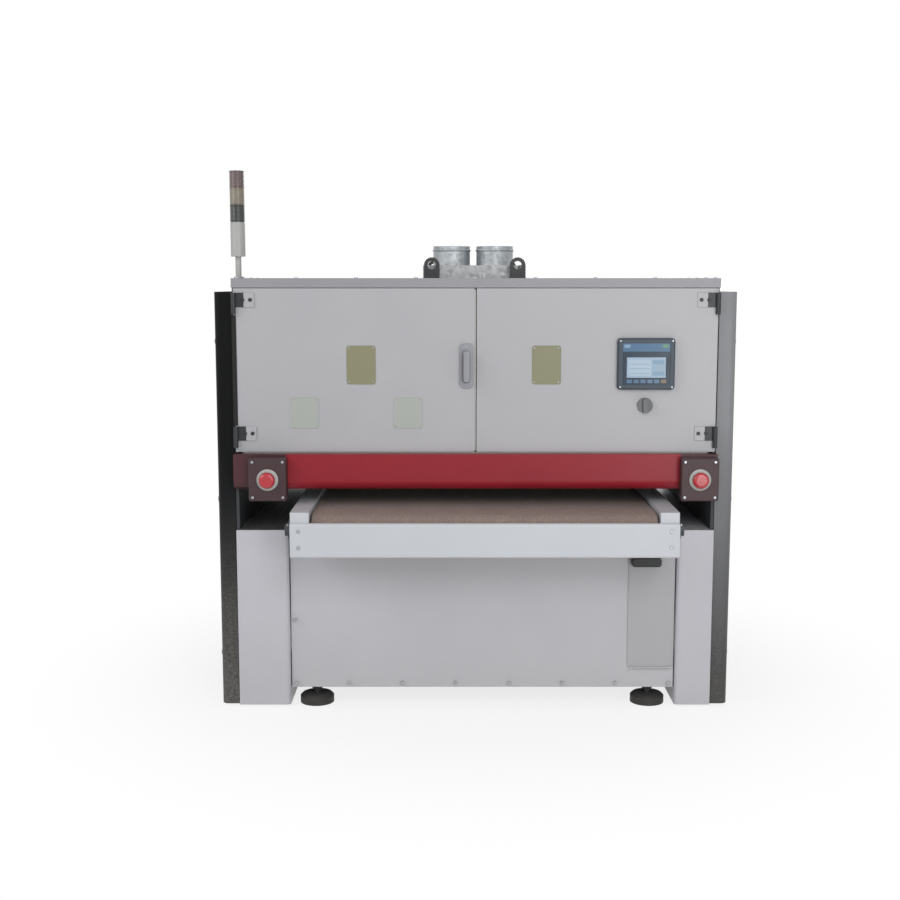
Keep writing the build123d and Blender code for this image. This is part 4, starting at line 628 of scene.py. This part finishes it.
screwTwist = ((0, 0, 0), (0, 0, math.pi / 3), 4)
screwTree = partial(makeTree, shape=screwShape, sizes="Head Height Key", lean=screwTwist)
discTree = partial(makeTree, shape=discShape, sizes="Head Height")
blockTree = partial(makeTree, shape=blockShape, sizes="Proud Length Height", axis="X", pivot="Z")
socketScrews = screwTree("socketScrews", finishName="zincPlatedScrew")
blackScrews = screwTree("blackScrews", finishName="blackOxideSteel")
zincDiscs = discTree("zincDiscs", finishName="zincPlatedScrew")
blackDiscs = discTree("blackDiscs", finishName="mouldedBlackNylon")
blackBlocks = blockTree("blackBlocks", finishName="mouldedBlackNylon")
greyBlocks = blockTree("greyBlocks", finishName="paleGreyHousing")
edgeBlocks = blockTree("edgeBlocks", finishName="mattBlackEdgeRubber")
matRibs = blockTree("matRibs", finishName="blackFootRubber")
hexBolts = makeTree("hexBolts", hexShape, "Across Height", "zincPlatedScrew")
sideLouvres = makeTree("sideLouvres", louvreShape, "Proud Length Height", "charcoalTexturedCoat", "X", "Z")
fanGuards = makeTree("fanGuards", guardShape, "Radius Wire", "blackOxideSteel")

frontFacing, rearFacing, upFacing = (0, -1, 0), (0, 1, 0), (0, 0, 1)
rightFacing, downFacing = (1, 0, 0), (0, 0, -1)
sides = (("left", -1), ("right", 1))
ways = (-1, 1)
sunk = 0.3 * mm  # what is laid on a face goes this far into it
screwLook = {
    "m8": {"Head": 0.0145, "Height": 0.0044, "Key": 0.0055},
    "m6": {"Head": 0.0110, "Height": 0.0034, "Key": 0.0043},
    "m4": {"Head": 0.0076, "Height": 0.0024, "Key": 0.0028},
    "rimIn": 0.018,
    "proud": 0.35,  # middle of a head above its face, as a share of its height
}


def addScrews(name, size, places, facing, body, tree=socketScrews):
    out = Vector(facing) * screwLook[size]["Height"] * screwLook["proud"]
    return addRow(name, tree, screwLook[size], [tuple(Vector(place) + out) for place in places], facing, body)


def middleOf(node):
    return [(low + high) / 2 for low, high in zip(*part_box(node))]


def row(start, end, count):  # evenly spaced points from start to end
    steps = [step / max(count - 1, 1) for step in range(count)]
    return [tuple(Vector(start).lerp(Vector(end), step)) for step in steps]


def rim(low, high, across, up):  # points round a rectangle in a plane
    (x0, z0), (x1, z1) = low, high
    edges = row((x0, z0), (x1, z0), across) + row((x0, z1), (x1, z1), across)
    return edges + row((x0, z0), (x0, z1), up + 2)[1:-1] + row((x1, z0), (x1, z1), up + 2)[1:-1]


# Brush rollers: slit abrasive strips backed by natural fibre, in the slots of the core
brushLook = {
    "strips": 10,
    "coreRadius": 0.090,
    "rootIn": 0.001,
    "endSpace": 0.012,  # left free of strands, both ends together
    "fingerPitch": 0.0078,
    "fingerStart": 0.004,
    "fingerAhead": 0.0012,
    "stagger": 0.0026,
    "fingers": {"Width": 0.0068, "Thickness": 0.0014, "Length": 0.0605, "Curl": 0.007},
    "fibrePitch": 0.0042,
    "fibreStart": 0.006,
    "fibreBacks": (0.00238, 0.0034),  # even and odd fibres behind the slot's middle
    "fibres": {"Thickness": 0.0021, "Length": 0.054},
    "foot": (0.0078, 0.016),  # width, depth
    "footOut": 0.0030,
    "ring": {"width": 0.008, "inner": 0.069, "outer": 0.104, "chamfer": 0.002, "segments": 64},
    "cut": (0.93, 0.985),  # least and most share of a strand's length
    "fingerLean": (4.5, 1.2, 9),  # degrees to both sides
    "fibreLean": (4, 4, 30),
}


def fingerStrand(add, size):  # a flat strip of cloth that curls towards its tip
    block = add("CombineXYZ", size["Width"], size["Thickness"], size["Length"])
    strip = add("MeshCube", {"Size": block, "Vertices Z": 5})
    half = add("Math MULTIPLY", size["Length"], 0.5)
    strip = add("Transform", {"Geometry": strip, "Translation": add("CombineXYZ", {2: half})})
    up = add("SeparateXYZ", add("InputPosition")).outputs["Z"]
    along = add("Math DIVIDE", up, size["Length"])
    bow = add("Math POWER", along, 2.0)
    bow = add("Math MULTIPLY", bow, size["Curl"])
    return add("SetPosition", {"Geometry": strip, "Offset": add("CombineXYZ", {1: bow})})


def fibreStrand(add, size):  # a stiff tapered fibre
    half = add("Math MULTIPLY", size["Thickness"], 0.5)
    tip = add("Math MULTIPLY", size["Thickness"], 0.22)
    return add("MeshCone", {"Vertices": 5, "Radius Bottom": half, "Radius Top": tip, "Depth": size["Length"]})


def strandTree(name, strand, sizes, finishName, angles, seed):  # strands lean and are cut unevenly
    lean = [tuple(way * math.radians(angle) for angle in angles) for way in ways] + [seed]
    return makeTree(name, strand, sizes, finishName, "Z", "X", lean, (*brushLook["cut"], seed + 1))


fingerTree = strandTree("slitStrips", fingerStrand, "Width Thickness Length Curl", "aluminiumOxideCloth",
                        brushLook["fingerLean"], seed=11)
fibreTree = strandTree("backingFibres", fibreStrand, "Thickness Length", "tampicoFibre",
                       brushLook["fibreLean"], seed=23)


def makeBrush(end):
    look, ring = brushLook, brushLook["ring"]
    low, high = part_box(f"{end}_brush_strips")
    body = f"{end}_brush"
    middleY, middleZ = (low[1] + high[1]) / 2, middleOf(f"{end}_brush_core")[2]
    left, right = low[0] + ring["width"], high[0] - ring["width"]
    fingers, fingersOut, fibres, fibresOut = [], [], [], []
    feet = bmesh.new()
    for strip in range(look["strips"]):
        angle = math.tau * strip / look["strips"]
        radial = Vector((0, -math.sin(angle), math.cos(angle)))
        aside = Vector((0, -math.cos(angle), -math.sin(angle)))
        base = Vector((0, middleY, middleZ)) + radial * (look["coreRadius"] - look["rootIn"])
        start = left + look["fingerStart"] + look["stagger"] * (strip % 3)
        for step in range(int((right - left - look["endSpace"]) / look["fingerPitch"])):
            along = Vector((start + step * look["fingerPitch"], 0, 0))
            fingers.append(tuple(base + along + aside * look["fingerAhead"]))
            fingersOut.append(tuple(radial))
        for step in range(int((right - left - look["endSpace"]) / look["fibrePitch"])):
            along = Vector((left + look["fibreStart"] + step * look["fibrePitch"], 0, 0))
            fibres.append(tuple(base + along - aside * look["fibreBacks"][step % 2]))
            fibresOut.append(tuple(radial))
        width, depth = look["foot"]
        block = Matrix.Translation(((left + right) / 2, middleY, middleZ)) @ Matrix.Rotation(angle, 4, "X")
        block = block @ Matrix.Translation((0, 0, look["coreRadius"] + look["footOut"] - depth / 2))
        bmesh.ops.create_cube(feet, size=1.0, matrix=block @ Matrix.Diagonal((right - left, width, depth, 1)))
    strips = addRow(f"{end}AbrasiveStrips", fingerTree, look["fingers"], fingers, fingersOut, body)
    addRow(f"{end}BackingFibres", fibreTree, look["fibres"], fibres, fibresOut, body)
    addShape(f"{end}StripFeet", feet, "galvanisedDuctSheet", body)
    inner, outer, width, chamfer = ring["inner"], ring["outer"], ring["width"], ring["chamfer"]
    profile = [(inner, 0), (outer - chamfer, 0), (outer, chamfer), (outer, width - chamfer),
               (outer - chamfer, width), (inner, width), (inner, 0)]
    for side, start in (("Left", low[0]), ("Right", right)):
        middle = (start, middleY, middleZ)
        name = f"{end}{side}StripRing"
        addTurned(name, profile, middle, rightFacing, ring["segments"], "groundSteel", body)
    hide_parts(f"{end}_brush_strips")


for end in ("front", "rear"):
    makeBrush(end)
print("brush rollers made")

# Signal tower lenses: ribbed polycarbonate rings
lensLook = {
    "radius": 0.028, "groove": 0.0011, "ribPitch": 0.0045, "lip": 0.004, "chamfer": 0.001, "segments": 48,
    "crestIn": 0.0003, "ribAt": (0.12, 0.5, 0.88)}  # a rib's foot, crest and foot as shares of the pitch


def makeLens(node, finishName):
    look, chamfer, lip = lensLook, lensLook["chamfer"], lensLook["lip"]
    low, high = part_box(node)
    height = high[2] - low[2]
    outer, inner = look["radius"], look["radius"] - look["groove"]
    profile = [(0, 0), (inner - chamfer, 0), (inner - chamfer, lip / 2), (outer, lip / 2), (outer, lip)]
    ribs = int((height - 2 * lip) / look["ribPitch"])
    pitch = (height - 2 * lip) / ribs
    for rib in range(ribs):
        levels = [lip + (rib + share) * pitch for share in look["ribAt"]]
        profile += zip((inner, outer - look["crestIn"], inner), levels)
    profile += [(outer, height - lip), (outer, height - chamfer), (outer - chamfer, height), (0, height)]
    middle = (*middleOf(node)[:2], low[2])
    name = node.replace("_", ".")
    piece = addTurned(name, profile, middle, upFacing, look["segments"], finishName, "cabinet")
    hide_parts(node)


for color in ("Red", "Amber", "Green"):
    makeLens(f"tower_{color.lower()}_lens", f"unlit{color}Lens")
print("tower lenses made")

# Collars under the stop buttons
look = {"inner": 0.0145, "outer": 0.040, "thick": 0.004, "in": 0.001, "chamfer": 0.003, "shoulder": 0.6,
        "segments": 48}
inner, outer, thick = look["inner"], look["outer"], look["thick"]
profile = [(inner, -look["in"]), (outer, -look["in"]), (outer, thick * look["shoulder"]),
           (outer - look["chamfer"], thick), (inner, thick), (inner, -look["in"])]
stopLow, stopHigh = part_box("estop_boxes")
for side, _ in sides:
    x, _, z = middleOf(f"{side}_estop_button")
    middle = (x, stopLow[1], z)
    name = f"{side}StopCollar"
    addTurned(name, profile, middle, frontFacing, look["segments"], "paleGreyHousing", "cabinet")

# Rolled beads near the tops of the dust spigots, to hold a hose clamp
look = {"radius": 0.075, "in": 0.0004, "proud": 0.0028, "half": 0.0055, "flat": 0.0020, "down": 0.016,
        "out": 0.088, "round": (0.0008, 0.0015), "segments": 64}
shell, crest = look["radius"] - look["in"], look["radius"] + look["proud"]
half, flat, (back, aside) = look["half"], look["flat"], look["round"]
profile = [(shell, -half), (crest - back, -flat - aside), (crest, -flat), (crest, flat),
           (crest - back, flat + aside), (shell, half), (shell, -half)]
for side, sign in sides:
    middle = (sign * look["out"], 0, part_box("dust_spigots")[1][2] - look["down"])
    name = f"{side}SpigotBead"
    addTurned(name, profile, middle, upFacing, look["segments"], "galvanisedDuctSheet", "cabinet")

# Blank plates on the doors, riveted at the corners
plateLook = {
    "plates": (  # door, middle x and z, width and height, finish
        ("left", -0.425, 1.315, 0.108, 0.144, "oliveEnamelPlate"),
        ("right", 0.263, 1.315, 0.108, 0.144, "oliveEnamelPlate"),
        ("left", -0.638, 1.136, 0.108, 0.116, "paleGreenGreyPlate"),
        ("left", -0.252, 1.136, 0.108, 0.116, "paleGreenGreyPlate"),
    ),
    "thick": 0.0016,
    "in": 0.0002,
    "corner": 0.010,
    "cornerSteps": 5,
    "rivetIn": 0.009,
    "rivet": {"Head": 0.0062, "Height": 0.0022, "Key": 0.0016},
}


def plateOutline(x, z, width, height):  # (x, z) points of a rectangle with round corners
    corner, steps = plateLook["corner"], plateLook["cornerSteps"]
    outline = []
    for quarter, (sx, sz) in enumerate(((1, 1), (-1, 1), (-1, -1), (1, -1))):
        for step in range(steps + 1):
            angle = math.pi / 2 * (quarter + step / steps)
            outline.append((x + sx * (width / 2 - corner) + corner * math.cos(angle),
                            z + sz * (height / 2 - corner) + corner * math.sin(angle)))
    return outline


back = doorFace + plateLook["in"]
doorRivets = {"left": [], "right": []}
for index, (door, x, z, width, height, finishName) in enumerate(plateLook["plates"]):
    outline = plateOutline(x, z, width, height)
    ends = [[(px, y, pz) for px, pz in outline] for y in (back, back - plateLook["thick"])]
    addPrisms(f"{door}BlankPlate{index}", [ends], finishName, f"{door}_front_door")
    across, up = width / 2 - plateLook["rivetIn"], height / 2 - plateLook["rivetIn"]
    front = doorFace - plateLook["thick"]
    doorRivets[door] += [(x + sx * across, front, z + sz * up) for sx in ways for sz in ways]
print("collars, beads and blank plates made")


# Screws on every panel that comes off
def panelRim(node, across, up, facing, inset=screwLook["rimIn"]):  # round the face of a panel
    low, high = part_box(node)
    flat, other = (2, 1) if facing[2] else (1, 2)  # the axis it faces along, and that of its sides
    face = (low if min(facing) < 0 else high)[flat]
    spots = rim((low[0] + inset, low[other] + inset), (high[0] - inset, high[other] - inset), across, up)
    return [(x, face, along) if flat == 1 else (x, along, face) for x, along in spots]


look = {"hatchClear": 0.02, "underHatch": 0.12, "coverIn": 0.030, "coverLow": 0.038, "coverHigh": 0.028,
        "bezelIn": 0.0095, "stopAcross": 0.056, "stopIn": 0.014, "handleLow": 0.014, "handleHigh": 0.010}
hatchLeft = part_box("service_hatch")[0][0] - look["hatchClear"]
spots = [spot for spot in panelRim("base_front_panel", 8, 1, frontFacing)
         if spot[0] <= hatchLeft or spot[2] < look["underHatch"]]
addScrews("basePanelScrews", "m8", spots, frontFacing, "cabinet")
for name, size, node, across, up, facing in (
        ("rearPanelScrews", "m8", "rear_panel", 9, 3, rearFacing),
        ("baseRearScrews", "m8", "base_rear_panel", 8, 2, rearFacing),
        ("roofScrews", "m8", "roof_panel", 9, 5, upFacing),
        ("plenumScrews", "m6", "dust_plenum", 4, 5, upFacing)):
    addScrews(name, size, panelRim(node, across, up, facing), facing, "cabinet")
low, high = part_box("table_end_covers")
for name, y, facing in (("coverScrewsFront", low[1], frontFacing), ("coverScrewsRear", high[1], rearFacing)):
    spots = [(x, y, z) for x in (low[0] + look["coverIn"], high[0] - look["coverIn"])
             for z in (low[2] + look["coverLow"], high[2] - look["coverHigh"])]
    addScrews(name, "m8", spots, facing, "table")
spots = panelRim("hmi_bezel", 2, 0, frontFacing, look["bezelIn"])
addScrews("bezelScrews", "m4", spots, frontFacing, "right_front_door")
spots = []
for side, _ in sides:
    x = middleOf(f"{side}_estop_button")[0]
    corners = rim((x - look["stopAcross"], stopLow[2] + look["stopIn"]),
                  (x + look["stopAcross"], stopHigh[2] - look["stopIn"]), 2, 0)
    spots += [(across, stopLow[1], up) for across, up in corners]
addScrews("stopBoxScrews", "m6", spots, frontFacing, "cabinet")
low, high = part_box("handle_plate")
heights = (low[2] + look["handleLow"], high[2] - look["handleHigh"])
spots = [(middleOf("handle_plate")[0], low[1], z) for z in heights]
addScrews("handleScrews", "m4", spots, frontFacing, "left_front_door")
for door, places in doorRivets.items():
    addRow(f"{door}PlateRivets", socketScrews, plateLook["rivet"], places, frontFacing, f"{door}_front_door")
print("screws made")


def hatSection(look):  # (across, out) corners of a folded rib
    wide, top, deep, brim, slope = look["ribWide"] / 2, look["ribTop"] / 2, look["ribDeep"], 0.002, 0.003
    half = ((wide, 0), (wide, brim), (top + slope, brim), (top, deep))
    return [(-across, out) for across, out in half] + list(reversed(half))


# Side doors: louvres, quarter-turn locks, and ribs on the inside
look = {
    "louvreHeights": (0.34, 1.24),  # middles of the two fields
    "louvreColumns": (-0.23, 0.0, 0.23),
    "louvreRows": 7,
    "rowPitch": 0.034,
    "louvreIn": 0.0004,
    "louvre": {"Proud": 0.0085, "Length": 0.190, "Height": 0.017},
    "slot": {"Proud": 0.0016, "Length": 0.176, "Height": 0.0050},
    "lockHeights": (0.20, 0.80, 1.40),
    "lockIn": 0.060,
    "lock": {"Head": 0.022, "Height": 0.0064, "Key": 0.0090},
    "lockOut": 0.0048,
    "lockPlate": {"Head": 0.038, "Height": 0.0036},
    "lockPlateOut": 0.0012,
    "ribAt": (-0.43, 0.43),
    "ribWide": 0.052,
    "ribTop": 0.030,
    "ribDeep": 0.012,
    "ribEnds": 0.075,
    "sheet": 0.003,
}
for side, sign in sides:
    body = f"{side}_side_door"
    low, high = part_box(body)
    outer = low[0] if sign < 0 else high[0]
    facing = (sign, 0, 0)
    louvres = []
    for middle in look["louvreHeights"]:
        for step in range(look["louvreRows"]):
            z = middle + (step - (look["louvreRows"] - 1) / 2) * look["rowPitch"]
            louvres += [(outer - sign * look["louvreIn"], y, z) for y in look["louvreColumns"]]
    addRow(f"{side}Louvres", sideLouvres, look["louvre"], louvres, facing, body)
    slots = [(x, y, z - look["slot"]["Height"] / 2) for x, y, z in louvres]
    addRow(f"{side}LouvreSlots", blackBlocks, look["slot"], slots, facing, body)
    for name, tree, kind in (("LockPlates", blackDiscs, "lockPlate"), ("Locks", socketScrews, "lock")):
        locks = [(outer + sign * look[kind + "Out"], low[1] + look["lockIn"], z) for z in look["lockHeights"]]
        addRow(side + name, tree, look[kind], locks, facing, body)
    inner = outer - sign * (look["sheet"] - sunk)
    ribs = [[[(inner - sign * out, y + across, z) for across, out in hatSection(look)]
             for z in (low[2] + look["ribEnds"], high[2] - look["ribEnds"])] for y in look["ribAt"]]
    addPrisms(f"{side}DoorRibs", ribs, "charcoalTexturedCoat", body)

# Front doors: hat ribs inside, screws in the hinge straps, a black strip of painted shade on the left door's
# edge, and seals
look = {
    "ribAt": (0.16, 0.45, 0.80), "ribWide": 0.050, "ribTop": 0.028, "ribDeep": 0.010, "ribEnds": 0.045,
    "sheet": 0.003, "strapScrews": (0.832, 0.860), "strapMiddles": (1.0597, 1.5557), "strapFace": 0.0045,
    # guard: the black strip of painted shade along the left door's outer edge
    "guard": {"Proud": 0.0016, "Length": 0.017, "Height": 0.410}, "guardMiddle": 1.2935, "guardIn": 0.0002,
    "seal": {"Proud": 0.0060, "Length": 1.740, "Height": 0.0050}, "sealIn": 0.042,
    "edge": {"Proud": 0.0125, "Length": 0.0055, "Height": 0.600}, "edgeIn": 0.014}
for side, sign in sides:
    body = f"{side}_front_door"
    low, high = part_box(body)
    inner = doorFace + look["sheet"] - sunk
    ribs = [[[(sign * x + across, inner + out, z) for across, out in hatSection(look)]
             for z in (low[2] + look["ribEnds"], high[2] - look["ribEnds"])] for x in look["ribAt"]]
    addPrisms(f"{side}FrontDoorRibs", ribs, "lightGreyPowderCoat", body)
    strap = doorFace - look["strapFace"]
    screws = [(sign * x, strap, z) for x in look["strapScrews"] for z in look["strapMiddles"]]
    addScrews(f"{side}StrapScrews", "m8", screws, frontFacing, body, blackScrews)
    if side == "left":  # a black guard between the hinges, and a grey seal where the doors meet
        # the black strip is painted shade along the left door's outer edge
        spot = (low[0] + look["guard"]["Length"] / 2, doorFace + look["guardIn"], look["guardMiddle"])
        addRow("leftEdgeGuard", edgeBlocks, look["guard"], [spot], frontFacing, body)
        x = high[0] + look["edge"]["Length"] / 2 - sunk
        spot = (x, doorFace + look["edgeIn"], middleOf(body)[2])
        addRow("meetingSeal", greyBlocks, look["edge"], [spot], frontFacing, body)
low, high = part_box("front_beam")  # a dust seal on the beam closes the gap under the doors
spot = (0, low[1] + look["sealIn"], high[2] + look["seal"]["Height"] / 2 - sunk)
addRow("beamSeal", greyBlocks, look["seal"], [spot], frontFacing, "cabinet")
print("doors dressed")

# Control gear: breaker toggles, contactor flags, terminal screws, and slotted cable ducts with lids
look = {
    "in": 0.0005,
    "toggle": {"Proud": 0.0045, "Length": 0.008, "Height": 0.014},
    "toggleAt": (-0.014, 0.0, 0.014),
    "flag": {"Proud": 0.0030, "Length": 0.016, "Height": 0.016},
    "screw": {"Head": 0.0075, "Height": 0.0016},
    "screwOut": 0.0004,
    "screwAt": (-0.032, 0.032),
    "plate": 0.0028,
    "duct": {"Proud": 0.045, "Length": 0.440, "Height": 0.022},
    "ductLid": {"Proud": 0.003, "Length": 0.442, "Height": 0.025},
    "ductRows": (-0.165, -0.055, 0.055, 0.165),
    "ductSlot": {"Proud": 0.028, "Length": 0.004, "Height": 0.0226},
    "slotIn": 0.012,
    "slotCount": 39,
    "riser": {"Proud": 0.045, "Length": 0.022, "Height": 0.354},
    "riserLid": {"Proud": 0.003, "Length": 0.025, "Height": 0.357},
    "riserOut": 0.235,
}
face, rise = gearHigh[0], gearGrid["pitchZ"]
columns = [(step - (gearGrid["columns"] - 1) / 2) * gearGrid["pitchY"] for step in range(gearGrid["columns"])]
spots = [(face - look["in"], y + aside, gearMiddle + rise) for y in columns for aside in look["toggleAt"]]
addRow("breakerToggles", blackBlocks, look["toggle"], spots, rightFacing, "cabinet")
spots = [(face - look["in"], y, gearMiddle) for y in columns]
addRow("contactorFlags", greyBlocks, look["flag"], spots, rightFacing, "cabinet")
spots = [(face + look["screwOut"], y + aside, gearMiddle + level * rise + up)
         for y in columns for level in (0, 1) for aside in look["toggleAt"] for up in look["screwAt"]]
addRow("terminalScrews", zincDiscs, look["screw"], spots, rightFacing, "cabinet")

plateFace = gearLow[0] + look["plate"]
ducts = [(plateFace, 0, gearMiddle + up) for up in look["ductRows"]]
risers = [(plateFace, way * look["riserOut"], gearMiddle) for way in ways]
for kind, places in (("duct", ducts), ("riser", risers)):
    addRow(f"{kind}Channels", greyBlocks, look[kind], places, rightFacing, "cabinet")
    lids = [(x + look[kind]["Proud"], y, z) for x, y, z in places]
    addRow(f"{kind}Lids", greyBlocks, look[f"{kind}Lid"], lids, rightFacing, "cabinet")
half = look["duct"]["Length"] / 2 - look["slotIn"]
spots = [spot for x, _, z in ducts
         for spot in row((x + look["slotIn"], -half, z), (x + look["slotIn"], half, z), look["slotCount"])]
addRow("ductSlots", blackBlocks, look["ductSlot"], spots, rightFacing, "cabinet")

# Brush motors: fan guards, foot bolts, terminal box screws
look = {
    "innerSide": 0.142,  # of each motor, from the machine's middle
    "shaftUp": 0.112,
    "guard": {"Radius": 0.082, "Wire": 0.0016},
    "guardOut": 0.0018,
    "guardBack": {"Head": 0.150, "Height": 0.0012},
    "guardBackOut": 0.0004,
    "bolt": {"Across": 0.018, "Height": 0.0075},
    "footTop": 0.014,
    "footBolts": ((0.056, 0.072), (0.168, 0.072)),  # from the drive end, from the shaft line
    "lidFrom": 0.064,  # terminal box from the drive end
    "lidLong": 0.106,
    "lidHalf": 0.049,
    "lidScrewIn": 0.010,
}
low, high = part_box("brush_motors")
shaftY, shaftZ = (high[1] + look["innerSide"]) / 2, low[2] + look["shaftUp"]
for name, tree, kind in (
        ("motorGuardBacks", blackDiscs, "guardBack"), ("motorFanGuards", fanGuards, "guard")):
    spots = [(high[0] + look[kind + "Out"], way * shaftY, shaftZ) for way in ways]
    addRow(name, tree, look[kind], spots, rightFacing, "cabinet")
spots = [(low[0] + along, side * shaftY + way * across, low[2] + look["footTop"])
         for side in ways for along, across in look["footBolts"] for way in ways]
addRow("motorFootBolts", hexBolts, look["bolt"], spots, upFacing, "cabinet")
inset = look["lidScrewIn"]
spots = [(low[0] + look["lidFrom"] + along, side * shaftY + way * (look["lidHalf"] - inset), high[2])
         for side in ways for along in (inset, look["lidLong"] - inset) for way in ways]
addScrews("motorLidScrews", "m6", spots, upFacing, "cabinet")

# The feed motor hangs from its gearbox, fan downwards
look = {
    "terminal": 0.090,  # terminal box face from the motor's axis
    "guard": {"Radius": 0.048, "Wire": 0.0014},
    "guardOut": 0.0018,
    "guardBack": {"Head": 0.088, "Height": 0.0012},
    "guardBackOut": 0.0004,
    "gearboxHalf": 0.050,
    "gearboxHigh": 0.140,
    "bolt": {"Across": 0.013, "Height": 0.0055},
    "boltAcross": 0.046,
    "boltIn": 0.014,
    "shaftCover": {"Head": 0.058, "Height": 0.0055},
    "coverOut": 0.0022,
    "lidDrop": 0.022,
    "lidAcross": 0.033,
    "lidScrews": (0.007, 0.079),
}
low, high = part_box("conveyor_gearmotor")
feedX, feedY = high[0] - look["terminal"], (low[1] + high[1]) / 2
for name, tree, kind in (("feedGuardBack", blackDiscs, "guardBack"), ("feedFanGuard", fanGuards, "guard")):
    addRow(name, tree, look[kind], [(feedX, feedY, low[2] - look[kind + "Out"])], downFacing, "table")
boxFace, boxTop, boxBottom = feedX + look["gearboxHalf"], high[2], high[2] - look["gearboxHigh"]
spots = [(boxFace, feedY + way * look["boltAcross"], z) for way in ways
         for z in (boxTop - look["boltIn"], boxBottom + look["boltIn"])]
addRow("gearboxBolts", hexBolts, look["bolt"], spots, rightFacing, "table")
_, rollerY, rollerZ = middleOf("drive_roller")
spot = (boxFace + look["coverOut"], feedY, rollerZ)
addRow("shaftCover", blackDiscs, look["shaftCover"], [spot], rightFacing, "table")
spots = [(high[0], feedY + way * look["lidAcross"], boxBottom - look["lidDrop"] - drop)
         for way in ways for drop in look["lidScrews"]]
addScrews("feedLidScrews", "m6", spots, rightFacing, "table")

# Bolts of the table's and the brushes' bearings
look = {"circle": 0.0290, "bolt": {"Across": 0.0080, "Height": 0.0035}, "flangeOut": 0.0125,
        "plateBolt": {"Across": 0.0170, "Height": 0.0075}, "plateBoltOut": 0.041}
railLow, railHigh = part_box("table_rails")
turns = [math.radians(45 + 90 * step) for step in range(4)]
for side, rail, sign, ends in (("left", railLow[0], -1, ways), ("right", railHigh[0], 1, (-1,))):
    spots = [(rail + sign * look["flangeOut"], end * rollerY + look["circle"] * math.cos(turn),
              rollerZ + look["circle"] * math.sin(turn)) for end in ends for turn in turns]
    addRow(f"{side}BearingBolts", hexBolts, look["bolt"], spots, (sign, 0, 0), "table")
outer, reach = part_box("side_frames")[1][0], look["plateBoltOut"]
_, brushY, brushZ = middleOf("rear_brush_core")
spots = [(outer, side * brushY + across * reach, brushZ + up * reach)
         for side in ways for across in ways for up in ways]
addRow("brushBearingBolts", hexBolts, look["plateBolt"], spots, rightFacing, "cabinet")
print("control gear, motors and bearings dressed")

# A ribbed black rubber mat on the left column, laid as painted shade where the photograph is black; the right
# one is bare
look = {"inset": 0.004, "thick": 0.003, "rib": {"Length": 0.0046, "Height": 0.0044}, "ribPitch": 0.0115,
        "ribEnds": 0.003}
low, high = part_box("base_boxes")
x0, x1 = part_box("rear_panel")[0][0] + look["inset"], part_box("cross_beams")[0][0] - look["inset"]
y0, y1 = low[1] + look["inset"], high[1] - look["inset"]
upper = high[2] + look["thick"]
pad = [[(x, y, z) for x, y in ((x0, y0), (x1, y0), (x1, y1), (x0, y1))] for z in (high[2] - sunk, upper)]
addPrisms("leftMatBase", [pad], "blackFootRubber", "cabinet")
count = int((x1 - x0) / look["ribPitch"])
half = (count - 1) / 2 * look["ribPitch"]
start, middle = y0 + look["ribEnds"], (x0 + x1) / 2
spots = row((middle - half, start, upper), (middle + half, start, upper), count)
sizes = {**look["rib"], "Proud": y1 - y0 - 2 * look["ribEnds"]}
addRow("leftMatRibs", matRibs, sizes, spots, rearFacing, "cabinet")
print("mat laid")
